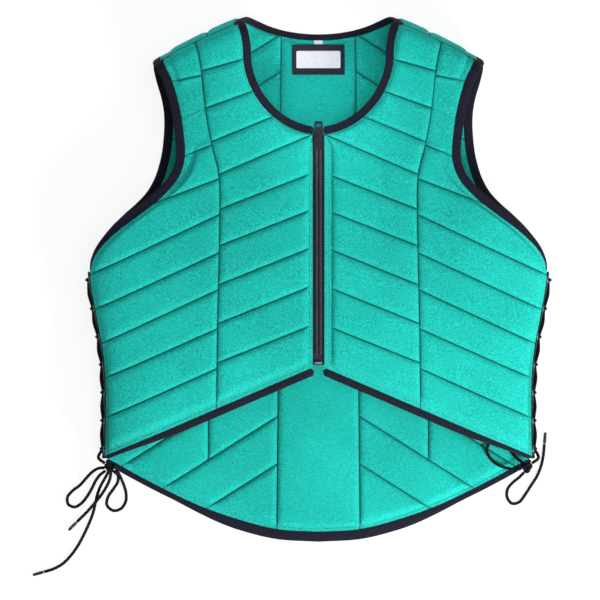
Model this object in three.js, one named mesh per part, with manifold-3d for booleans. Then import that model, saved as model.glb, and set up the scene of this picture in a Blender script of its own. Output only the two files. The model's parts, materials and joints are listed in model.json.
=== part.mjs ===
// Riding body protector: a padded zip-front vest, laced at both sides, lying on its back.
// Millimetres, +X to the right, +Y towards the neck, +Z up. The floor is z = 0.
// One half is worked out at x = +d and mirrored. A sheet point is (d, v): d is the distance from
// the centre line, v runs up the sheet, round the shoulder fold where the sheet turns over.
import * as THREE from 'three';
import { mergeVertices } from 'three/addons/utils/BufferGeometryUtils.js';
import Module from 'manifold-3d';

// Overall sizes
const vestLength = 591;
const chestHalf = 255;
const layerRise = 52;
const foldReach = 18;

// Padding
const foam = 12;
const seamThickness = 3.4;
const shoulderOfPad = 6;
const seamGap = 0.3;
const armMargin = 12;
const zipMargin = 5;
const hemMargin = 3;

// Form of the two layers as they lie
const chestRise = 6;
const chestRiseUp = 41.4;
const chestRiseSpan = 130;
const sideDrop = 12;
const sideDropSpan = 18;
const sideCurl = 5;
const sideCurlSpan = 16;

// Shoulder line
const neckPoint = { out: 88, up: 291 };
const armPoint = { out: 180, up: 247 };
const shoulderBulge = 1.5;

// Neck
const neckHalf = 84.5;
const neckRoundness = 1.9;
const frontNeckBase = 162;
const frontNeckHeight = 90;
const neckFlare = 10;
const backNeckBase = 269;
const backNeckHeight = 46;

// Seams and hems
const spineHalf = 41.5;
const spineTailHalf = 47;
const backSeam = 123.8;
const frontHemPeak = -95.5;
const frontHemSlope = 0.43;
const backRowSlope = 0.63;
const tailCornerWidth = 8;

// Bindings and lacing strips
const bindingWidth = 11;
const backNeckBindingWidth = 7;
const bindingThickness = 4.4;
const armTaper = 0.45;
const armTaperSpan = 60;
const bindingGap = 0.55;
const stripThickness = 3;
const frontStrip = { width: 15, turn: 0.82 };
const backStrip = { width: 12, turn: 1.05 };
const eyeletCount = 7;
const eyeletHole = 2.7;
const eyeletHeight = 0.7;
const eyeletInset = 8;
const eyeletSides = 6;
const laceRadius = 1.8;

// Zip
const zipHalf = 6.7;
const toothReach = 4.2;
const toothThickness = 2.2;
const tapeThickness = 1.2;
const zipTail = 12;
const sliderLength = 24;
const sliderHalf = 5.4;
const plate = 1.4;
const bridgeHalf = 4.2;
const bridgeWidth = 3;
const bridgeLeg = 1.3;
const barHalf = 0.75;
const tabLength = 20.5;
const tabHalf = 4.3;
const tabEyeEnd = 7;
const tabEyeHalf = 2.2;
const tabSlot = { from: 13.2, to: 16.6, half: 2.4 };
const runClear = 0.4;
const sliderAboveCloth = 7;
const sliderWedge = 5;
const bridgeAt = 0;
const stopLength = 2.2;

// Labels inside the back
const labelSize = { across: 59, along: 34, thick: 0.9, belowNeck: 4.5 };
const labelUp = backNeckBase - labelSize.belowNeck - labelSize.along / 2;
const patchSize = { across: 49.5, along: 19.4, thick: 0.5 };
const sizeTabSize = { across: 9.8, along: labelSize.belowNeck - seamGap, thick: 0.6 };

// Where the channels meet the princess seam, as shares of the vest's length, and how steeply
// they rise towards the zip on its two sides
const channels = [
  { centre: 0.3948, centreSlope: 0.28, side: 0.3866, sideSlope: 0.2 },
  { centre: 0.3240, centreSlope: 0.36, side: 0.3222, sideSlope: 0.5 },
  { centre: 0.2602, centreSlope: 0.41, side: 0.2551, sideSlope: 0.43 },
  { centre: 0.1984, centreSlope: 0.43, side: 0.1907, sideSlope: 0.38 },
  { centre: 0.1330, centreSlope: 0.39, side: 0.1232, sideSlope: 0.47 },
  { centre: 0.0637, centreSlope: 0.39, side: 0.0508, sideSlope: 0.46 },
  { centre: -0.0100, centreSlope: 0.40, side: -0.0190, sideSlope: 0.465 },
  { centre: -0.0834, centreSlope: 0.40, side: -0.0929, sideSlope: 0.445 },
  { centre: -0.1579, centreSlope: 0.40, side: -0.1681, sideSlope: 0.45 },
];
// Rows of the side column next to the arm that carry no padding
const softRows = { from: 1, to: 3 };

// Where the back's diagonals meet the spine, as shares of the vest's length
const backRows = [0.56, 0.468, 0.3960, 0.2924, 0.2005, 0.1083, 0.0164, -0.0756, -0.1675,
  -0.2596, -0.3506];

// Princess seam: along is a share of the vest's length, out a share of the half chest
const princessSeam = [
  { along: 0.50, out: 0.556 }, { along: 0.457, out: 0.540 }, { along: 0.394, out: 0.514 },
  { along: 0.324, out: 0.4965 }, { along: 0.258, out: 0.470 }, { along: 0.197, out: 0.437 },
  { along: 0.10, out: 0.434 }, { along: -0.083, out: 0.443 }, { along: -0.25, out: 0.448 },
];
// Outer edges of the padding, front and back, the same shares
const sideEdge = [
  { along: 0.0135, out: 0.998 }, { along: -0.017, out: 0.992 }, { along: -0.0745, out: 0.968 },
  { along: -0.135, out: 0.943 }, { along: -0.195, out: 0.932 }, { along: -0.27, out: 0.931 },
  { along: -0.36, out: 0.936 },
];
const frontArmEdge = [
  { along: 0.47, out: 0.690 }, { along: 0.411, out: 0.677 }, { along: 0.381, out: 0.646 },
  { along: 0.350, out: 0.623 }, { along: 0.320, out: 0.606 }, { along: 0.289, out: 0.595 },
  { along: 0.2445, out: 0.585 }, { along: 0.214, out: 0.593 }, { along: 0.184, out: 0.626 },
  { along: 0.1535, out: 0.692 }, { along: 0.123, out: 0.782 }, { along: 0.093, out: 0.876 },
  { along: 0.063, out: 0.950 }, { along: 0.037, out: 0.988 },
];
const backArmEdge = [
  { along: 0.56, out: 0.690 }, { along: 0.411, out: 0.690 }, { along: 0.381, out: 0.676 },
  { along: 0.350, out: 0.655 }, { along: 0.320, out: 0.643 }, { along: 0.289, out: 0.641 },
  { along: 0.2445, out: 0.650 }, { along: 0.214, out: 0.665 }, { along: 0.184, out: 0.689 },
  { along: 0.1535, out: 0.731 }, { along: 0.123, out: 0.801 }, { along: 0.093, out: 0.887 },
  { along: 0.063, out: 0.954 }, { along: 0.037, out: 0.988 },
];
// Tail hem: out is a share of the half chest, along a share of the vest's length
const tailHem = [
  { out: 0.0, along: -0.4800 }, { out: 0.18, along: -0.4750 }, { out: 0.34, along: -0.4580 },
  { out: 0.52, along: -0.4310 }, { out: 0.68, along: -0.3990 }, { out: 0.80, along: -0.3720 },
  { out: 0.90, along: -0.3480 }, { out: 0.96, along: -0.3340 },
];

const wasm = await Module();
wasm.setup();

// Bows: each free end's route, chosen by hand; across and along from its knot, up from the floor
const laceSides = 6;
const laceStep = 9;
const laceIntoKnot = new THREE.Vector3(6.2, 5, 2.5);
const laceSwing = new THREE.Vector3(5, -2, 0);
const laceClear = 1.2;
const knotRadius = 6.8;
const knotFromCorner = { across: -4.29, along: -13.03, up: 25 };
const knotShape = { across: 1, along: 0.9, up: 0.8 };
const knotSegments = { around: 10, down: 7 };
const tipLength = 13;
const tipRadius = 2;
const tipTaper = 0.8;
const endSides = 8;
const bowLoopLeftOuter = [
  [-7.2, -0.4, 23.5], [-13, -1, 19], [-20, -5, 12], [-27, -12, 5.5], [-34, -20, 2.4],
  [-43, -27, 2], [-48.5, -34, 2], [-47.5, -42, 2], [-40.5, -45, 2], [-33, -41, 2],
  [-26, -32.5, 2.1], [-21, -24, 3], [-17, -16, 8], [-12, -9, 16], [-6, -4.2, 22.6],
];
const bowLoopLeftInner = [
  [4.4, -4.6, 20.9], [8.5, -9, 14.5], [8, -17, 6.5], [3, -25, 2.6],
  [-3, -34, 2], [-4, -43, 2], [3, -49, 2], [11.5, -47, 2], [17, -39, 2],
  [17.5, -30, 2.1], [16, -23, 3.5], [14, -17.5, 8], [11.7, -11.5, 14.5],
  [9, -6, 19.5], [6.4, -3.3, 23],
];
const laceEndLeftLong = [
  [-2.6, -6.3, 21.3], [-6.5, -13, 13], [-11, -21, 5.5], [-14.5, -30, 2.4],
  [-17, -40, 2], [-19.5, -51, 2], [-24, -63, 2], [-30, -76, 2], [-37, -89, 2],
  [-45, -100, 2], [-54, -109, 2], [-65, -115, 2], [-75, -118, 2],
];
const laceEndLeftShort = [
  [0.7, -6.4, 20.4], [-0.5, -13, 14], [-4, -21, 9.5], [-9.5, -30, 7.2],
  [-16, -38.5, 6.4], [-22.5, -46, 5], [-28, -52, 3], [-34, -58, 2], [-38, -62, 2],
];
const bowLoopRight = [
  [-6.7, -1.4, 22.4], [-14, -2.5, 18.5], [-23, -0.5, 16.3], [-33, 3.5, 15.3],
  [-41, 10.5, 14.8], [-44.5, 19.5, 14.8], [-41, 28, 15.3], [-32, 31, 16.2],
  [-24, 27, 17], [-18, 19, 17], [-12, 11, 20], [-5, 5.8, 24.5],
];
const laceEndRight = [
  [-3.5, -6.2, 20.6], [-8.5, -11.5, 14.5], [-15.5, -17.5, 7.5], [-21, -25, 3],
  [-21.5, -34, 2], [-16, -41, 2], [-8, -39.5, 2], [-1.5, -31.5, 2], [5, -21.5, 2],
  [12, -10.5, 2], [17, 2, 2], [19.5, 15, 2], [20.5, 26, 2],
];

const finishes = {
  fabric: new THREE.MeshStandardMaterial({ color: 0x1fb7a6, roughness: 0.85 }),
  binding: new THREE.MeshStandardMaterial({ color: 0x1d1f33, roughness: 0.8 }),
  tape: new THREE.MeshStandardMaterial({ color: 0x171923, roughness: 0.8 }),
  teeth: new THREE.MeshStandardMaterial({ color: 0x14161d, roughness: 0.45 }),
  metal: new THREE.MeshStandardMaterial({ color: 0x2a2c38, roughness: 0.4, metalness: 0.7 }),
  silver: new THREE.MeshStandardMaterial({ color: 0xc8ccd0, roughness: 0.3, metalness: 1 }),
  lace: new THREE.MeshStandardMaterial({ color: 0x14151c, roughness: 0.75 }),
  patch: new THREE.MeshStandardMaterial({ color: 0xe9ecf0, roughness: 0.7 }),
};

// A smooth curve through a table's rows, read at one of its two columns
function curveThrough(rows, key, value, keyUnit, valueUnit) {
  const sorted = [...rows].sort((a, b) => a[key] - b[key]);
  const keys = sorted.map((row) => row[key] * keyUnit);
  const values = sorted.map((row) => row[value] * valueUnit);
  const last = keys.length - 1;
  const slopes = keys.map((_, i) => {
    const a = Math.max(0, i - 1);
    const b = Math.min(last, i + 1);
    return (values[b] - values[a]) / (keys[b] - keys[a]);
  });
  return (at) => {
    if (at <= keys[0]) return values[0];
    if (at >= keys[last]) return values[last];
    const i = keys.findIndex((key_) => key_ > at) - 1;
    const step = keys[i + 1] - keys[i];
    const t = (at - keys[i]) / step;
    const rise = values[i + 1] - values[i];
    const bend = slopes[i] * step - rise;
    const bendNext = rise - slopes[i + 1] * step;
    return values[i] + rise * t + t * (1 - t) * (bend * (1 - t) + bendNext * t);
  };
}

const princess = curveThrough(princessSeam, 'along', 'out', vestLength, chestHalf);
const sideOut = curveThrough(sideEdge, 'along', 'out', vestLength, chestHalf);
const frontOut = curveThrough([...frontArmEdge, ...sideEdge], 'along', 'out', vestLength, chestHalf);
const backOut = curveThrough([...backArmEdge, ...sideEdge], 'along', 'out', vestLength, chestHalf);
const tailAt = curveThrough(tailHem, 'out', 'along', chestHalf, vestLength);
const armBase = sideEdge[0].along * vestLength;
const seamTurn = Math.PI / 4;

// The shoulder fold's far edge, and the fold's start on the sheet
function foldLine(d) {
  const t = (d - neckPoint.out) / (armPoint.out - neckPoint.out);
  return neckPoint.up + (armPoint.up - neckPoint.up) * t + shoulderBulge * 4 * t * (1 - t);
}
const foldStart = (d) => foldLine(d) - foldReach;
const frontSeam = (d) => foldStart(d) + foldReach * seamTurn;
const backSeamAt = (d) => foldStart(d) + foldReach * (Math.PI - seamTurn);

function frontLevel(d, v) {
  const inset = sideOut(Math.min(v, armBase)) - d;
  const rise = chestRise * Math.exp(-(((v - chestRiseUp) / chestRiseSpan) ** 2));
  return foam / 2 + layerRise + rise - sideDrop * Math.exp(-inset / sideDropSpan);
}
function backLevel(d, v) {
  const inset = sideOut(Math.min(v, armBase)) - d;
  return foam / 2 + sideCurl * Math.exp(-inset / sideCurlSpan);
}
// Middle of the sheet; face is +1 on the front and -1 on the back
function sheetPoint(face, d, v) {
  const start = foldStart(d);
  const flat = Math.min(v, start);
  const turn = Math.max(0, v - start) / foldReach;
  const front = frontLevel(d, flat);
  const back = backLevel(d, flat);
  const y = flat + foldReach * Math.sin(turn);
  return new THREE.Vector3(d, y, (front + back) / 2 + face * (front - back) / 2 * Math.cos(turn));
}
// The sheet's own directions: out of the torso, outwards along d, and up the sheet
function sheetFrame(face, d, v) {
  const h = 0.5;
  const across = sheetPoint(face, d + h, v).sub(sheetPoint(face, d - h, v)).normalize();
  const up = sheetPoint(face, d, v + h).sub(sheetPoint(face, d, v - h)).normalize();
  const out = across.clone().cross(up).normalize().multiplyScalar(face);
  return { at: sheetPoint(face, d, v), across, up, out };
}

// Geometry from rings of points: each ring joins the next, and both ends are closed by fans
function loft(rings) {
  const count = rings[0].length;
  const points = rings.flat();
  const faces = [];
  for (let r = 0; r + 1 < rings.length; r += 1) {
    for (let k = 0; k < count; k += 1) {
      const a = r * count + k;
      const b = r * count + ((k + 1) % count);
      faces.push(a, b, b + count, a, b + count, a + count);
    }
  }
  const end = (rings.length - 1) * count;
  for (let k = 1; k + 1 < count; k += 1) {
    faces.push(0, k + 1, k, end, end + k, end + k + 1);
  }
  return bodyFrom(points, faces);
}

// A closed pad: a grid of { at, out, half } thickened both ways along out
function pad(grid) {
  const rings = grid.map((row) => {
    const top = row.map((cell) => cell.at.clone().addScaledVector(cell.out, cell.half));
    const under = row.map((cell) => cell.at.clone().addScaledVector(cell.out, -cell.half));
    return { top, under };
  });
  const width = grid[0].length;
  const points = rings.flatMap((ring) => [...ring.top, ...ring.under]);
  const faces = [];
  const at = (r, c, layer) => r * 2 * width + layer * width + c;
  const quad = (a, b, c, d) => faces.push(a, b, c, a, c, d);
  for (let r = 0; r + 1 < grid.length; r += 1) {
    for (let c = 0; c + 1 < width; c += 1) {
      quad(at(r, c, 0), at(r, c + 1, 0), at(r + 1, c + 1, 0), at(r + 1, c, 0));
      quad(at(r, c, 1), at(r + 1, c, 1), at(r + 1, c + 1, 1), at(r, c + 1, 1));
    }
    quad(at(r, 0, 0), at(r + 1, 0, 0), at(r + 1, 0, 1), at(r, 0, 1));
    quad(at(r, width - 1, 0), at(r, width - 1, 1), at(r + 1, width - 1, 1), at(r + 1, width - 1, 0));
  }
  const last = grid.length - 1;
  for (let c = 0; c + 1 < width; c += 1) {
    quad(at(0, c, 0), at(0, c, 1), at(0, c + 1, 1), at(0, c + 1, 0));
    quad(at(last, c, 0), at(last, c + 1, 0), at(last, c + 1, 1), at(last, c, 1));
  }
  return bodyFrom(points, faces);
}

function volumeOf(position, index) {
  const [a, b, c] = [new THREE.Vector3(), new THREE.Vector3(), new THREE.Vector3()];
  let sum = 0;
  for (let i = 0; i < index.length; i += 3) {
    a.fromArray(position, 3 * index[i]);
    b.fromArray(position, 3 * index[i + 1]);
    c.fromArray(position, 3 * index[i + 2]);
    sum += a.dot(b.cross(c));
  }
  return sum / 6;
}
// A body's faces are turned to point out, whichever way its rows ran
function bodyFrom(points, faces) {
  const position = points.flatMap((point) => point.toArray());
  const turned = volumeOf(position, faces) < 0 ? [...faces].reverse() : faces;
  const geometry = new THREE.BufferGeometry();
  geometry.setAttribute('position', new THREE.Float32BufferAttribute(position, 3));
  geometry.setIndex(turned);
  return geometry;
}
// Only the places of its corners, each written once
function bareCopy(geometry) {
  const bare = geometry.clone();
  ['normal', 'uv'].forEach((name) => bare.deleteAttribute(name));
  return mergeVertices(bare, 1e-4);
}
function mirrored(geometry) {
  const other = bareCopy(geometry);
  other.scale(-1, 1, 1);
  other.setIndex([...other.index.array].reverse());
  return other;
}

function solidOf(geometry) {
  const merged = bareCopy(geometry);
  return new wasm.Manifold(new wasm.Mesh({
    numProp: 3,
    vertProperties: new Float32Array(merged.attributes.position.array),
    triVerts: new Uint32Array(merged.index.array),
  }));
}
function geometryOf(solid) {
  const mesh = solid.getMesh();
  const geometry = new THREE.BufferGeometry();
  geometry.setAttribute('position', new THREE.Float32BufferAttribute(mesh.vertProperties, 3));
  geometry.setIndex([...mesh.triVerts]);
  return geometry;
}
// Joins the first list and cuts the second list out of it
function joined(bodies, cuts = []) {
  const whole = bodies.map(solidOf).reduce((sum, part) => sum.add(part));
  return geometryOf(cuts.map(solidOf).reduce((rest, cut) => rest.subtract(cut), whole));
}

// The far end of a row inside an edge, found by halving
function reach(inside, from, to) {
  let [low, high] = [from, to];
  for (let i = 0; i < 40; i += 1) {
    const middle = (low + high) / 2;
    if (inside(middle)) low = middle;
    else high = middle;
  }
  return low;
}

// Neck edges of the padding
function frontNeck(v) {
  const centre = frontNeckBase + frontNeckHeight;
  const drop = Math.min(1, Math.max(0, (centre - v) / frontNeckHeight));
  const flare = neckFlare * Math.max(0, (v - centre) / (vestLength / 2 - centre)) ** 2;
  return v < frontNeckBase ? 0 : neckHalf * (1 - drop ** neckRoundness) ** (1 / neckRoundness) + flare;
}
function backNeck(v) {
  const drop = Math.min(1, Math.max(0, 1 - (v - backNeckBase) / backNeckHeight));
  return v < backNeckBase ? 0 : (neckHalf + neckFlare) * Math.sqrt(1 - drop * drop);
}
function spineSeam(v) {
  const t = Math.min(1, Math.max(0, 0.5 - v / vestLength));
  return spineHalf + (spineTailHalf - spineHalf) * t;
}
const frontHem = (d) => frontHemPeak - frontHemSlope * d;

// Rows of the front, as a real number from 0 at the shoulder seam to the hem
const frontRowCount = channels.length + 1;
function frontLine(column, k, d) {
  if (k === 0) return frontSeam(d) - seamGap;
  if (k === frontRowCount) return frontHem(d);
  const row = channels[k - 1];
  const up = (column === 'centre' ? row.centre : row.side) * vestLength;
  const slope = column === 'centre' ? row.centreSlope : row.sideSlope;
  return up - slope * (d - princess(up));
}
function between(line, count, r, d) {
  const k = Math.min(count - 1, Math.floor(r));
  return line(k, d) + (line(k + 1, d) - line(k, d)) * (r - k);
}
const frontV = (column, r, d) => between((k, at) => frontLine(column, k, at), frontRowCount, r, d);

// Rows of the back, from 0 at the shoulder seam to the corner of the tail
const backRowCount = backRows.length + 1;
function backLine(k, d) {
  if (k === 0) return backSeamAt(d) - seamGap;
  const lastUp = tailAt(spineTailHalf) + backRowSlope * tailCornerWidth / 2;
  const up = k === backRowCount ? lastUp : backRows[k - 1] * vestLength;
  return up - backRowSlope * (d - spineSeam(up));
}
const backV = (r, d) => between(backLine, backRowCount, r, d);

// Row places: on each seam, and a pad's shoulder in from it on both sides
const foldRow = [0, 0.16, 0.5, 0.84];
const plainRow = [0, 0.17, 0.83];
const stopsApart = 0.02;
function rowStops(count, foldRows) {
  const stops = [];
  for (let k = 0; k < count; k += 1) {
    const shares = k < foldRows ? foldRow : plainRow;
    shares.forEach((share) => stops.push({ r: k + share, seam: share === 0 }));
  }
  return [...stops, { r: count, seam: true }];
}
// A row's place where it crosses a sheet point, found by halving; rows run down the sheet
const rowThrough = (line, count, d, v) => reach((r) => line(r, d) > v, 0, count);
function withStops(stops, extra) {
  const added = extra.filter((r) => stops.every((stop) => Math.abs(stop.r - r) > stopsApart));
  return [...stops, ...added.map((r) => ({ r, seam: false }))].sort((a, b) => a.r - b.r);
}
// Column places between two edges: margins are thin, then the pad's shoulder, then its middle
const mostOfRoom = 0.8;
function columnStops(from, to, marginIn, marginOut, middles = 1) {
  const room = to - from;
  const wide = marginIn + marginOut + 2 * shoulderOfPad;
  const fit = Math.min(1, mostOfRoom * room / wide);
  const stops = [{ d: from, seam: true }];
  if (marginIn > 0) stops.push({ d: from + marginIn * fit, seam: true });
  const low = from + (marginIn + shoulderOfPad) * fit;
  const high = to - (marginOut + shoulderOfPad) * fit;
  for (let i = 0; i < middles + 2; i += 1) {
    stops.push({ d: low + (high - low) * i / (middles + 1), seam: false });
  }
  if (marginOut > 0) stops.push({ d: to - marginOut * fit, seam: true });
  stops.push({ d: to, seam: true });
  return stops;
}
const halfAt = (thin) => (thin ? seamThickness : foam) / 2;

// Extra rows round the neck's corner at the zip, and where the back neck meets the spine seam
const neckAtZip = reach((v) => frontNeck(v) < zipHalf, 0, vestLength / 2);
const zipCorner = rowThrough((r, d) => frontV('centre', r, d), frontRowCount, zipHalf, neckAtZip);
const zipCornerFrom = 3;
const zipCornerShares = [0.12, 0.35, 0.6, 0.85, 1];
const neckStops = zipCornerShares.map((share) => zipCornerFrom + (zipCorner - zipCornerFrom) * share);
const neckAtSpine = reach((v) => backNeck(v) < spineHalf, 0, vestLength);
const spineCorner = rowThrough(backV, backRowCount, spineHalf, neckAtSpine);
const spineCornerFrom = 1;
const spineCornerShares = [0.25, 0.42, 0.6, 0.8, 1];
const backNeckStops = spineCornerShares
  .map((share) => spineCornerFrom + (spineCorner - spineCornerFrom) * share);
// Extra rows where the arm edges meet the laced sides, and where the side meets the tail hem
const sideTop = sideOut(armBase);
const tailCorner = reach((v) => v < tailAt(sideOut(v)), -vestLength / 2, 0);
const hemCorner = reach((v) => v < frontHem(sideOut(v)), -vestLength / 2, 0);
const frontSideTop = rowThrough((r, d) => frontV('side', r, d), frontRowCount, sideTop, armBase);
const backSideTop = rowThrough(backV, backRowCount, sideTop, armBase);
const backSideEnd = rowThrough(backV, backRowCount, sideOut(tailCorner), tailCorner);
const meets = 0.2;
const meetsNeck = 1;
const pastChest = 1.1 * chestHalf;

function frontGrid(column) {
  const stops = withStops(rowStops(frontRowCount, 1), column === 'centre' ? neckStops : [frontSideTop]);
  return stops.map(({ r, seam }) => {
    const v = (d) => frontV(column, r, d);
    const split = reach((d) => d < princess(v(d)), 0, chestHalf);
    const inner = reach((d) => d < Math.max(zipHalf, frontNeck(v(d))), 0, split);
    const outer = reach((d) => d < frontOut(v(d)), split, pastChest);
    const open = v(outer) > armBase ? armMargin : hemMargin;
    const places = column === 'centre'
      ? columnStops(inner + seamGap / 2, split - seamGap / 2, zipMargin, 0)
      : columnStops(split + seamGap / 2, outer, 0, open);
    const soft = column === 'side' && r > softRows.from && r < softRows.to;
    return places.map((stop) => {
      const thin = seam || stop.seam || soft;
      return { ...sheetFrame(1, stop.d, v(stop.d)), half: halfAt(thin), d: stop.d, v: v(stop.d) };
    });
  });
}

const backSeamShare = 0.7;
// The back's upright seam stops at its last but one diagonal
const backSeamRows = backRows.length - 1;
function backGrid() {
  const stops = withStops(rowStops(backRowCount, 2), [...backNeckStops, backSideTop, backSideEnd]);
  return stops.map(({ r, seam }) => {
    const v = (d) => backV(r, d);
    const inner = reach((d) => d < Math.max(spineSeam(v(d)), backNeck(v(d))), 0, chestHalf);
    const outer = reach((d) => d < backOut(v(d)) && v(d) > tailAt(d), inner, pastChest);
    const middle = Math.min(backSeam, inner + (outer - inner) * backSeamShare);
    const open = v(outer) > armBase ? armMargin : hemMargin;
    const first = columnStops(inner + seamGap / 2, middle, 0, 0, 0);
    const second = columnStops(middle, outer, 0, open, 0).slice(1);
    return [...first, ...second].map((stop) => {
      const sewn = stop.seam && (stop.d !== middle || r < backSeamRows);
      const thin = seam || sewn;
      return { ...sheetFrame(-1, stop.d, v(stop.d)), half: halfAt(thin), d: stop.d, v: v(stop.d) };
    });
  });
}

// The spine is one long pad between its two seams, with the neck's curve at the top
const spineRows = 9;
const spineAcross = [-1, -0.84, -0.5, 0, 0.5, 0.84, 1];
const spineReach = { top: 0.45, length: 0.9 };
function spineGrid() {
  const grid = [];
  for (let i = 0; i <= spineRows; i += 1) {
    const end = i === 0 || i === spineRows;
    const inset = shoulderOfPad / vestLength;
    const t = end ? i / spineRows : inset + (1 - 2 * inset) * (i - 1) / (spineRows - 2);
    grid.push(spineAcross.map((share) => {
      const half = spineSeam((spineReach.top - spineReach.length * t) * vestLength) - seamGap / 2;
      const d = Math.abs(share) * half;
      const top = reach((v) => backNeck(v) < d || v < backNeckBase, 0, vestLength / 2);
      const v = top + (tailAt(d) - top) * t;
      const cell = sheetFrame(-1, d, v);
      if (share < 0) [cell.at, cell.out].forEach((vector) => { vector.x *= -1; });
      return { ...cell, half: halfAt(end || Math.abs(share) === 1), d, v, share };
    }));
  }
  return grid;
}

// Binding: a flattened hexagon carried along an edge, just outside it
const bindingSection = [
  { out: 0, lift: 0.35 }, { out: 0.5, lift: 0.5 }, { out: 1, lift: 0.25 },
  { out: 1, lift: -0.25 }, { out: 0.5, lift: -0.5 }, { out: 0, lift: -0.35 },
];
// Edge frames: where the edge is, which way is out of the torso, and which way is off the pad
function edgeFrames(cells) {
  return cells.map((cell, i) => {
    const next = cells[Math.min(i + 1, cells.length - 1)].at;
    const last = cells[Math.max(i - 1, 0)].at;
    const run = next.clone().sub(last).normalize();
    return { ...cell, run, off: run.clone().cross(cell.out).normalize() };
  });
}
function turnedOff(frames, towards) {
  const wrong = frames[0].off.dot(towards) < 0;
  return wrong ? frames.map((frame) => ({ ...frame, off: frame.off.clone().negate() })) : frames;
}
function bindingAlong(frames, widthAt = () => bindingWidth) {
  return loft(frames.map((frame, i) => bindingSection.map(({ out, lift }) => frame.at.clone()
    .addScaledVector(frame.off, bindingGap + out * widthAt(frame, i))
    .addScaledVector(frame.out, lift * bindingThickness))));
}
const firstCells = (grid) => grid.map((row) => row[0]);
const lastCells = (grid) => grid.map((row) => row[row.length - 1]);
const flipped = (cells) => cells.map((cell) => {
  const copy = { ...cell, at: cell.at.clone(), out: cell.out.clone() };
  [copy.at, copy.out].forEach((vector) => { vector.x *= -1; });
  return copy;
});

// A strip turns from its pad's edge towards the torso: its own width and face directions
function stripFrame(frame, strip) {
  const side = frame.off.clone().multiplyScalar(Math.cos(strip.turn))
    .addScaledVector(frame.out, -Math.sin(strip.turn));
  const face = frame.out.clone().multiplyScalar(Math.cos(strip.turn))
    .addScaledVector(frame.off, Math.sin(strip.turn));
  return { side, face };
}
// A turned strip starts a little way off, so that its near corner clears the pad's edge
const stripStart = (strip) => (seamGap + Math.sin(strip.turn) * stripThickness / 2)
  / Math.cos(strip.turn);
function stripAlong(frames, strip) {
  return loft(frames.map((frame) => {
    const { side, face } = stripFrame(frame, strip);
    const corner = (along, lift) => frame.at.clone().addScaledVector(side, stripStart(strip) + along)
      .addScaledVector(face, lift * stripThickness / 2);
    return [corner(0, -1), corner(strip.width, -1), corner(strip.width, 1), corner(0, 1)];
  }));
}
// Eyelets share out the shorter of the two laced sides and sit on their strip's middle
const eyeletTop = armBase - eyeletInset;
const eyeletBottom = Math.max(tailCorner, hemCorner) + eyeletInset;
function eyeletPlaces(frames, strip) {
  return Array.from({ length: eyeletCount }, (_, k) => {
    const y = eyeletTop + (eyeletBottom - eyeletTop) * k / (eyeletCount - 1);
    const i = frames.findIndex((frame, j) => j > 0 && frame.at.y <= y);
    const [a, b] = [frames[i - 1], frames[i]];
    const t = (a.at.y - y) / (a.at.y - b.at.y);
    const from = stripFrame(a, strip);
    const to = stripFrame(b, strip);
    const side = from.side.lerp(to.side, t);
    const at = a.at.clone().lerp(b.at, t).addScaledVector(side, stripStart(strip) + strip.width / 2);
    return { at, face: from.face.lerp(to.face, t).normalize() };
  });
}
function placed(geometry, at, face) {
  const turn = new THREE.Quaternion().setFromUnitVectors(new THREE.Vector3(0, 1, 0), face);
  return geometry.applyQuaternion(turn).translate(at.x, at.y, at.z);
}
function lacingStrip(frames, strip) {
  const eyelets = eyeletPlaces(frames, strip);
  const holes = eyelets.map(({ at, face }) => placed(new THREE.CylinderGeometry(eyeletHole,
    eyeletHole, 3 * stripThickness, eyeletSides), at, face));
  return joined([stripAlong(frames, strip)], holes);
}

function tubeAlong(points, radius, sides, step) {
  const path = new THREE.CatmullRomCurve3(points, false, 'centripetal');
  const steps = Math.max(6, Math.round(path.getLength() / step));
  const section = new THREE.Shape(Array.from({ length: sides }, (_, k) => {
    const angle = (2 * Math.PI * k) / sides;
    return new THREE.Vector2(radius * Math.cos(angle), radius * Math.sin(angle));
  }));
  return new THREE.ExtrudeGeometry(section, { extrudePath: path, steps, bevelEnabled: false });
}

const group = new THREE.Group();
const body = new THREE.Group();
const cords = new THREE.Group();
group.add(body, cords);
function add(parent, name, geometry, material) {
  const mesh = new THREE.Mesh(geometry, material);
  mesh.name = name;
  parent.add(mesh);
  return mesh;
}
function addPair(name, geometry, material) {
  add(body, `${name}_right`, geometry, material);
  add(body, `${name}_left`, mirrored(geometry), material);
}

// Pads
const centreGrid = frontGrid('centre');
const sideGrid = frontGrid('side');
const rearGrid = backGrid();
const spine = spineGrid();
addPair('front_centre', pad(centreGrid), finishes.fabric);
addPair('front_side', pad(sideGrid), finishes.fabric);
addPair('back_side', pad(rearGrid), finishes.fabric);
add(body, 'back_spine', pad(spine), finishes.fabric);

// Neck binding, from one side of the zip round the back of the neck to the other
const middleLevel = foam / 2 + layerRise / 2;
const upwards = new THREE.Vector3(0, 1, 0);
const downwards = new THREE.Vector3(0, -1, 0);
const outwards = new THREE.Vector3(1, 0, 0);
const frontNeckCells = firstCells(centreGrid).filter((cell) => cell.v > neckAtZip - meetsNeck).reverse();
const backNeckCells = firstCells(rearGrid).filter((cell) => cell.v > neckAtSpine - meetsNeck);
const halfNeck = [...frontNeckCells, ...backNeckCells];
const neckCells = [...halfNeck, ...[...spine[0]].reverse().slice(1, -1),
  ...flipped(halfNeck).reverse()];
const neckFrames = turnedOff(edgeFrames(neckCells), upwards);
const backShare = (frame) => Math.min(1, Math.max(0, (middleLevel - frame.at.z) * 2 / layerRise));
add(body, 'neck_binding', bindingAlong(neckFrames, (frame) => bindingWidth
  + (backNeckBindingWidth - bindingWidth) * backShare(frame)), finishes.binding);

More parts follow.
